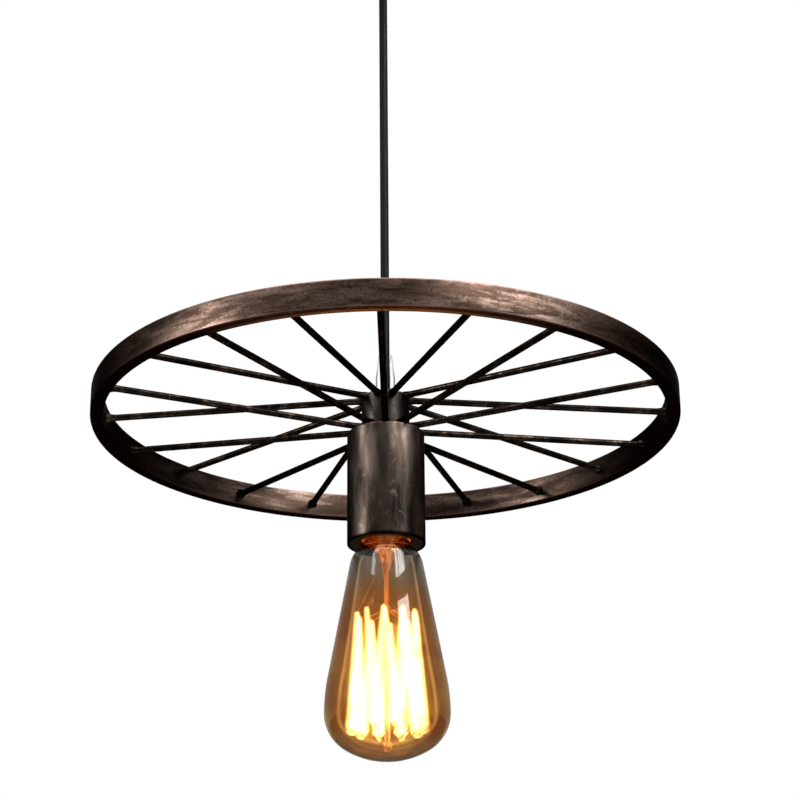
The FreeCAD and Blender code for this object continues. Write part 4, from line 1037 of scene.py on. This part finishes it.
def cage_points():
    """The cage's corners: even ones at the top, odd ones at the bottom, evenly round the axis."""
    step = np.arange(CAGE_PLACES - 1)
    angle = 2 * np.pi * step / CAGE_PLACES + CAGE_TURN
    low = step % 2 == 1
    radius = np.where(low, CAGE_RADIUS, CAGE_TOP_RADIUS)
    level = np.where(low, cage_bottom, cage_top)
    return np.stack([radius * np.cos(angle), radius * np.sin(angle), level], axis=1)


def round_corners(points, bend, steps=5):
    """Each inner corner c becomes a quadratic curve from a, bend before it, to b, bend after it:
    (1 - s)^2 a + 2 s (1 - s) c + s^2 b."""
    middle = points[1:-1]
    before, after = points[:-2] - middle, points[2:] - middle
    start = middle + before / np.linalg.norm(before, axis=1)[:, None] * bend
    end = middle + after / np.linalg.norm(after, axis=1)[:, None] * bend
    share = np.linspace(0, 1, steps)[None, :, None]
    curve = (1 - share) ** 2 * start[:, None] + share ** 2 * end[:, None]
    curve = curve + 2 * share * (1 - share) * middle[:, None]
    return np.vstack([points[:1], curve.reshape(-1, 3), points[-1:]])


def glowing_wire():
    """A coil at white heat. Its light is strongest along its middle and dies away towards the
    edge of the glow, through which the rest of the cage shows."""
    material = new_material("glowing_tungsten_coil")[0]
    facing = add(material, "LayerWeight", {"Blend": 0.5}).outputs["Facing"]
    share = add(material, "ValToRGB", {"Fac": facing}, stops=[
        (0.0, 0.6), (0.06, 0.30), (0.22, 0.09), (0.5, 0.02), (1.0, 0),
    ])
    light = add(material, "Emission", {"Color": "#FFEECB", "Strength": GLOW_STRENGTH})
    clear = add(material, "BsdfTransparent", {"Color": "#FFFFFF"})
    shader = add(material, "MixShader", {0: share, 1: clear, 2: light})
    return finish_material(material, shader)


corners = cage_points()
filament_path = round_corners(corners, HOOK_BEND)
glow_share = np.clip((cage_top - filament_path[:, 2]) / CAGE_HEIGHT, 0, 1) ** GLOW_GROWTH
glow_radius = GLOW_TOP + (GLOW_BOTTOM - GLOW_TOP) * glow_share
filament_mesh = carried("squirrel_cage_filament", filament_path, glow_radius)
piece(
    "squirrel_cage_filament", filament_mesh, glowing_wire(), "bulb", "glowing_filament",
    "bulb_filament",
)

# %% [markdown]
# Each bead holds a star of thin wires, and each wire holds one of the cage's corners. Two thicker
# wires bring the current down from the stem to the cage's first and last corner. They are thin
# circles carried along paths that sag a little, as soft wire does.

# %% Support and lead-in wires
SUPPORT_RADIUS = 0.22
LEAD_IN_RADIUS = 0.3
WIRE_DEPTH_IN_BEAD = 0.3
SAG_BELOW = 1.2
SAG_ABOVE = 0.8
LEAD_START_RADIUS = 2.6
LEAD_START_DROP = 2.0
LEAD_BOW_ASIDE = 2.5
LEAD_BOW_UP = 5.0


def wire_metal():
    """Drawn nickel wire, its colour painted amber for the glass and the warm light round it."""
    material, place = new_material("drawn_nickel_wire")
    cloud = add(material, "TexNoise", clouds(place, 4.0))
    colour = add(material, "ValToRGB", {"Fac": cloud}, stops=[(0.3, "#A07C50"), (0.7, "#DCBE90")])
    shader = add(material, "BsdfPrincipled", {
        "Base Color": colour, "Roughness": 0.3, "Metallic": 0.5,
    })
    return finish_material(material, shader)


nickel = wire_metal()
hooks = []
for number in range(1, CAGE_PLACES - 2):
    corner = corners[number]
    centre = np.array([0, 0, star_mm if number % 2 else bead_mm])
    out = (corner - centre) / np.linalg.norm(corner - centre)
    start, end = centre + out * (BEAD - WIRE_DEPTH_IN_BEAD), corner - out * SUPPORT_RADIUS
    sag = np.array([0, 0, -SAG_BELOW if number % 2 else -SAG_ABOVE])
    share = np.linspace(0, 1, 9)[:, None]
    path = start + (end - start) * share + sag * share * (1 - share) * 4
    hooks.append(carried("hook", path, SUPPORT_RADIUS, sides=8))
stars = join_meshes("support_stars", hooks)
piece("support_stars", stars, nickel, "bulb", "nickel_wire", "bulb_support_wires")

leads = []
for number, sideways in ((0, LEAD_BOW_ASIDE), (CAGE_PLACES - 2, -LEAD_BOW_ASIDE)):
    corner = corners[number]
    out = corner * [1, 1, 0] / np.linalg.norm(corner[:2])
    across = np.array([-out[1], out[0], 0])
    start = -out * LEAD_START_RADIUS + [0, 0, cone_top - LEAD_START_DROP]
    share = np.linspace(0, 1, 24)[:, None]
    bow = np.sin(np.pi * share)
    path = start * (1 - share) + corner * share
    path = path + across * sideways * bow + [0, 0, LEAD_BOW_UP] * bow * (1 - share)
    leads.append(carried("lead_in", path, LEAD_IN_RADIUS, sides=8))
lead_pair = join_meshes("lead_in_pair", leads)
piece("lead_in_pair", lead_pair, nickel, "bulb", "nickel_wire", "bulb_lead_in_wires")

# %% [markdown]
# ## The canopy
# A spun steel cup hides the wiring at the ceiling. It has the wheel's finish and a round lower
# edge, and at each side a brass screw holds it to the bracket inside.

# %% Canopy
CANOPY_RADIUS = 50.0
CANOPY_WALL = 1.2
CANOPY_EDGE = 4.0
CANOPY_HOLE = 5.15
canopy_outline = rounded([
    (CANOPY_HOLE, canopy_low, 0),
    (CANOPY_RADIUS, canopy_low, CANOPY_EDGE),
    (CANOPY_RADIUS, 0, 0.2),
    (CANOPY_RADIUS - CANOPY_WALL, 0, 0.2),
    (CANOPY_RADIUS - CANOPY_WALL, canopy_low + CANOPY_WALL, CANOPY_EDGE - CANOPY_WALL),
    (CANOPY_HOLE, canopy_low + CANOPY_WALL, 0),
], steps=10)
canopy_bronze = aged_bronze(
    "rubbed_bronze_on_spun_canopy", "#261F1A", "#5A4537", "#80604F", 0.45,
    [(CANOPY_RADIUS, 0)],
)
canopy_mesh = turned("canopy_shell", canopy_outline, 256)
piece("canopy_shell", canopy_mesh, canopy_bronze, "ceiling_fitting", "bronze_canopy", "canopy_cup")

# %% [markdown]
# ## Finishes of the pieces that stay as CAD solids
# Nuts, screws, leads and terminals have the right shape already, and most are hidden. Each still
# gets the finish of the real part: zinc plate, moulded nylon, PVC or solder.

# %% Plain finishes
# name, two colours, the clouds' size in mm, metallic, roughness, nodes
FINISHES = [
    # a milky grey mirror
    ("zinc_plated_steel", "#B9BBBD", "#9A9B99", 3.0, 1.0, 0.30, [
        "ceiling_bracket", "canopy_grip_nut", "threaded_nipple", "spring_washer", "cup_nut",
        "lampholder_bridge", "lampholder_bridge_screws", "lampholder_terminal_screws",
        "terminal_block_screws", "terminal_block_fixings",
    ]),
    # brown-gold metal, dark with age
    ("antiqued_brass_screws", "#A8803F", "#6E4F24", 2.5, 1.0, 0.32, ["canopy_side_screws"]),
    # tough plastics with a soft, waxy sheen
    ("moulded_black_nylon", "#141312", "#201E1D", 4.0, 0.0, 0.48, [
        "canopy_cord_grip", "canopy_grip_screw",
    ]),
    ("moulded_white_nylon", "#E9E5DA", "#DAD5C8", 5.0, 0.0, 0.45, ["terminal_block"]),
    # even, slightly glossy colours, one to each core
    ("brown_pvc_insulation", "#5A3420", "#6B4029", 3.0, 0.0, 0.45, [
        "ceiling_live_lead", "lampholder_leads",
    ]),
    ("blue_pvc_insulation", "#2A5FA8", "#3A74BC", 3.0, 0.0, 0.45, ["ceiling_neutral_lead"]),
    ("green_pvc_insulation", "#4E8A2B", "#C8C23A", 2.0, 0.0, 0.45, ["ceiling_earth_lead"]),
    # a dull silver drop, and black glass that shines like a wet stone
    ("tin_solder", "#A9ABAD", "#8C8E90", 1.5, 1.0, 0.35, ["bulb_contact"]),
    ("black_insulating_glass", "#0B0B0D", "#15151A", 3.0, 0.0, 0.12, ["bulb_cap_insulator"]),
]
finished = {
    "terminal_barrels": brass, "lampholder_terminals": brass, "lampholder_centre_contact": brass,
    "cord_tail_ceiling": cord_material, "cord_tail_hub": cord_material,
}
for name, first, second, size_mm, metallic, rough, nodes in FINISHES:
    material = cloudy_finish(
        name, [(0.3, first), (0.7, second)], [(0.3, rough), (0.7, rough + 0.12)],
        cloud=(size_mm, 3), grain=(size_mm / 12, 3), bump=0.15, Metallic=metallic,
    )
    finished.update(dict.fromkeys(nodes, material))
for node, material in finished.items():
    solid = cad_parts[node]
    solid.data.materials.clear()
    solid.data.materials.append(material)
print(len(finished), "CAD solids finished")

# %% [markdown]
# ## Room and light
# The photograph is a catalogue shot on white. Six soft boxes, kept at a plain level, give the
# bright band along the rim and the streaks down the cup. Two small warm lamps inside the glass are
# the filament's own light. The world is white to the camera and through glass, but metal sees a
# dim room in it, as it does with black screens beside the lamp, so the bronze stays dark.

# %% Light
SOFT_BOX_DISTANCE = 1.6
NECK_LAMP_DROP = 9.0
NECK_LAMP_RADIUS = 2.0
METAL_SEES = 0.12
SOFT_LIGHT = 0.12
# name, degrees from the camera's side, degrees up, width and height in metres, watts
SOFT_BOXES = [
    ("box_right", 46, 38, 0.75, 1.4, 36),
    ("box_left", -66, 15, 0.26, 0.5, 12),
    ("strip_left", -42, 46, 0.26, 0.7, 3.4),
    ("box_top", -25, 76, 0.9, 0.9, 9),
    ("box_low", 10, -50, 0.9, 0.6, 3.5),
    ("box_back", 170, 50, 0.9, 0.5, 10),
]


def soft_box(name, azimuth, elevation, width, height, watts):
    """A rectangular lamp that faces the wheel from (sin a cos e, -cos a cos e, sin e)."""
    data = bpy.data.lights.new(name, "AREA")
    data.shape = "RECTANGLE"
    data.size, data.size_y = width, height
    data.energy = watts
    lamp = bpy.data.objects.new(name, data)
    bpy.context.collection.objects.link(lamp)
    turn, rise = math.radians(azimuth), math.radians(elevation)
    level = math.cos(rise)
    toward = Vector((math.sin(turn) * level, -math.cos(turn) * level, math.sin(rise)))
    lamp.location = Vector((0, 0, wheel_z)) + toward * SOFT_BOX_DISTANCE
    lamp.rotation_euler = toward.to_track_quat("Z", "Y").to_euler()


def inner_light(name, watts, colour, radius, height):
    """A small warm lamp on the bulb's axis that lights things but is never seen itself."""
    data = bpy.data.lights.new(name, "POINT")
    data.energy = watts
    data.color = linear(colour)[:3]
    data.shadow_soft_size = radius
    lamp = bpy.data.objects.new(name, data)
    bpy.context.collection.objects.link(lamp)
    lamp.location = (0, 0, height)
    lamp.visible_camera = lamp.visible_glossy = lamp.visible_transmission = False


for box in SOFT_BOXES:
    soft_box(*box)
cage_middle = (cage_top + cage_bottom) / 2 * MM
inner_light("lit_filament", 0.3, "#FFC27A", CAGE_TOP_RADIUS * MM / 2, cage_middle)
neck_height = (cap_low - NECK_LAMP_DROP) * MM
inner_light("light_in_the_neck", 0.12, "#FFD8A8", NECK_LAMP_RADIUS * MM, neck_height)

world = bpy.data.worlds.new("white_room")
bpy.context.scene.world = world
world.use_nodes = True
world.node_tree.nodes.clear()


def world_light():
    """White where the camera's ray ends, also through glass; a dim room for metal and surfaces."""
    path = add(world, "LightPath")
    seen = add(world, "Math", {
        0: path.outputs["Is Camera Ray"], 1: path.outputs["Is Transmission Ray"],
    }, operation="MAXIMUM")
    mirrored = add(world, "Math", {
        0: path.outputs["Is Glossy Ray"], 1: METAL_SEES,
    }, operation="MULTIPLY")
    seen = add(world, "Math", {0: seen, 1: mirrored}, operation="MAXIMUM")
    level = add(world, "MapRange", {"Value": seen, "To Min": SOFT_LIGHT, "To Max": 1.0})
    background = add(world, "Background", {"Color": "#FFFFFF", "Strength": level})
    add(world, "OutputWorld", {"Surface": background})


world_light()
print(len(SOFT_BOXES), "soft boxes and two lamps in the bulb")

# %% [markdown]
# The floor lies far down, as in a high room, so the lamp can also be looked at from below. It is
# pale, and glows a little for the camera, so that it meets the white background softly.

# %% Floor
FLOOR_DROP = 2.4
FLOOR_HALF = 60.0
FLOOR_GLOW = 0.72
floor_z = wheel_z - FLOOR_DROP
corner_signs = np.array([[-1, -1], [1, -1], [1, 1], [-1, 1]], float)
floor_points = np.hstack([corner_signs * FLOOR_HALF, np.full((4, 1), floor_z)])
floor_mesh = bpy.data.meshes.new("studio_floor")
floor_mesh.from_pydata(floor_points.tolist(), [], [(0, 1, 2, 3)])
floor = bpy.data.objects.new("studio_floor", floor_mesh)
bpy.context.collection.objects.link(floor)


def pale_floor():
    """Pale painted boards that glow a little for the camera, as a floor lit from all round."""
    material = new_material("pale_painted_floor")[0]
    seen = add(material, "LightPath").outputs["Is Camera Ray"]
    paint = add(material, "BsdfDiffuse", {"Color": "#F2F2F2"})
    glow = add(material, "Emission", {"Color": "#FFFFFF", "Strength": FLOOR_GLOW})
    lit = add(material, "AddShader", {0: paint, 1: glow})
    both = add(material, "MixShader", {0: seen, 1: paint, 2: lit})
    return finish_material(material, both)


floor_mesh.materials.append(pale_floor())

# %% [markdown]
# The colours were chosen as a screen shows them, so the picture is written without a film curve.

# %% Colours as they are written
scene = bpy.context.scene
scene.view_settings.view_transform = "Standard"
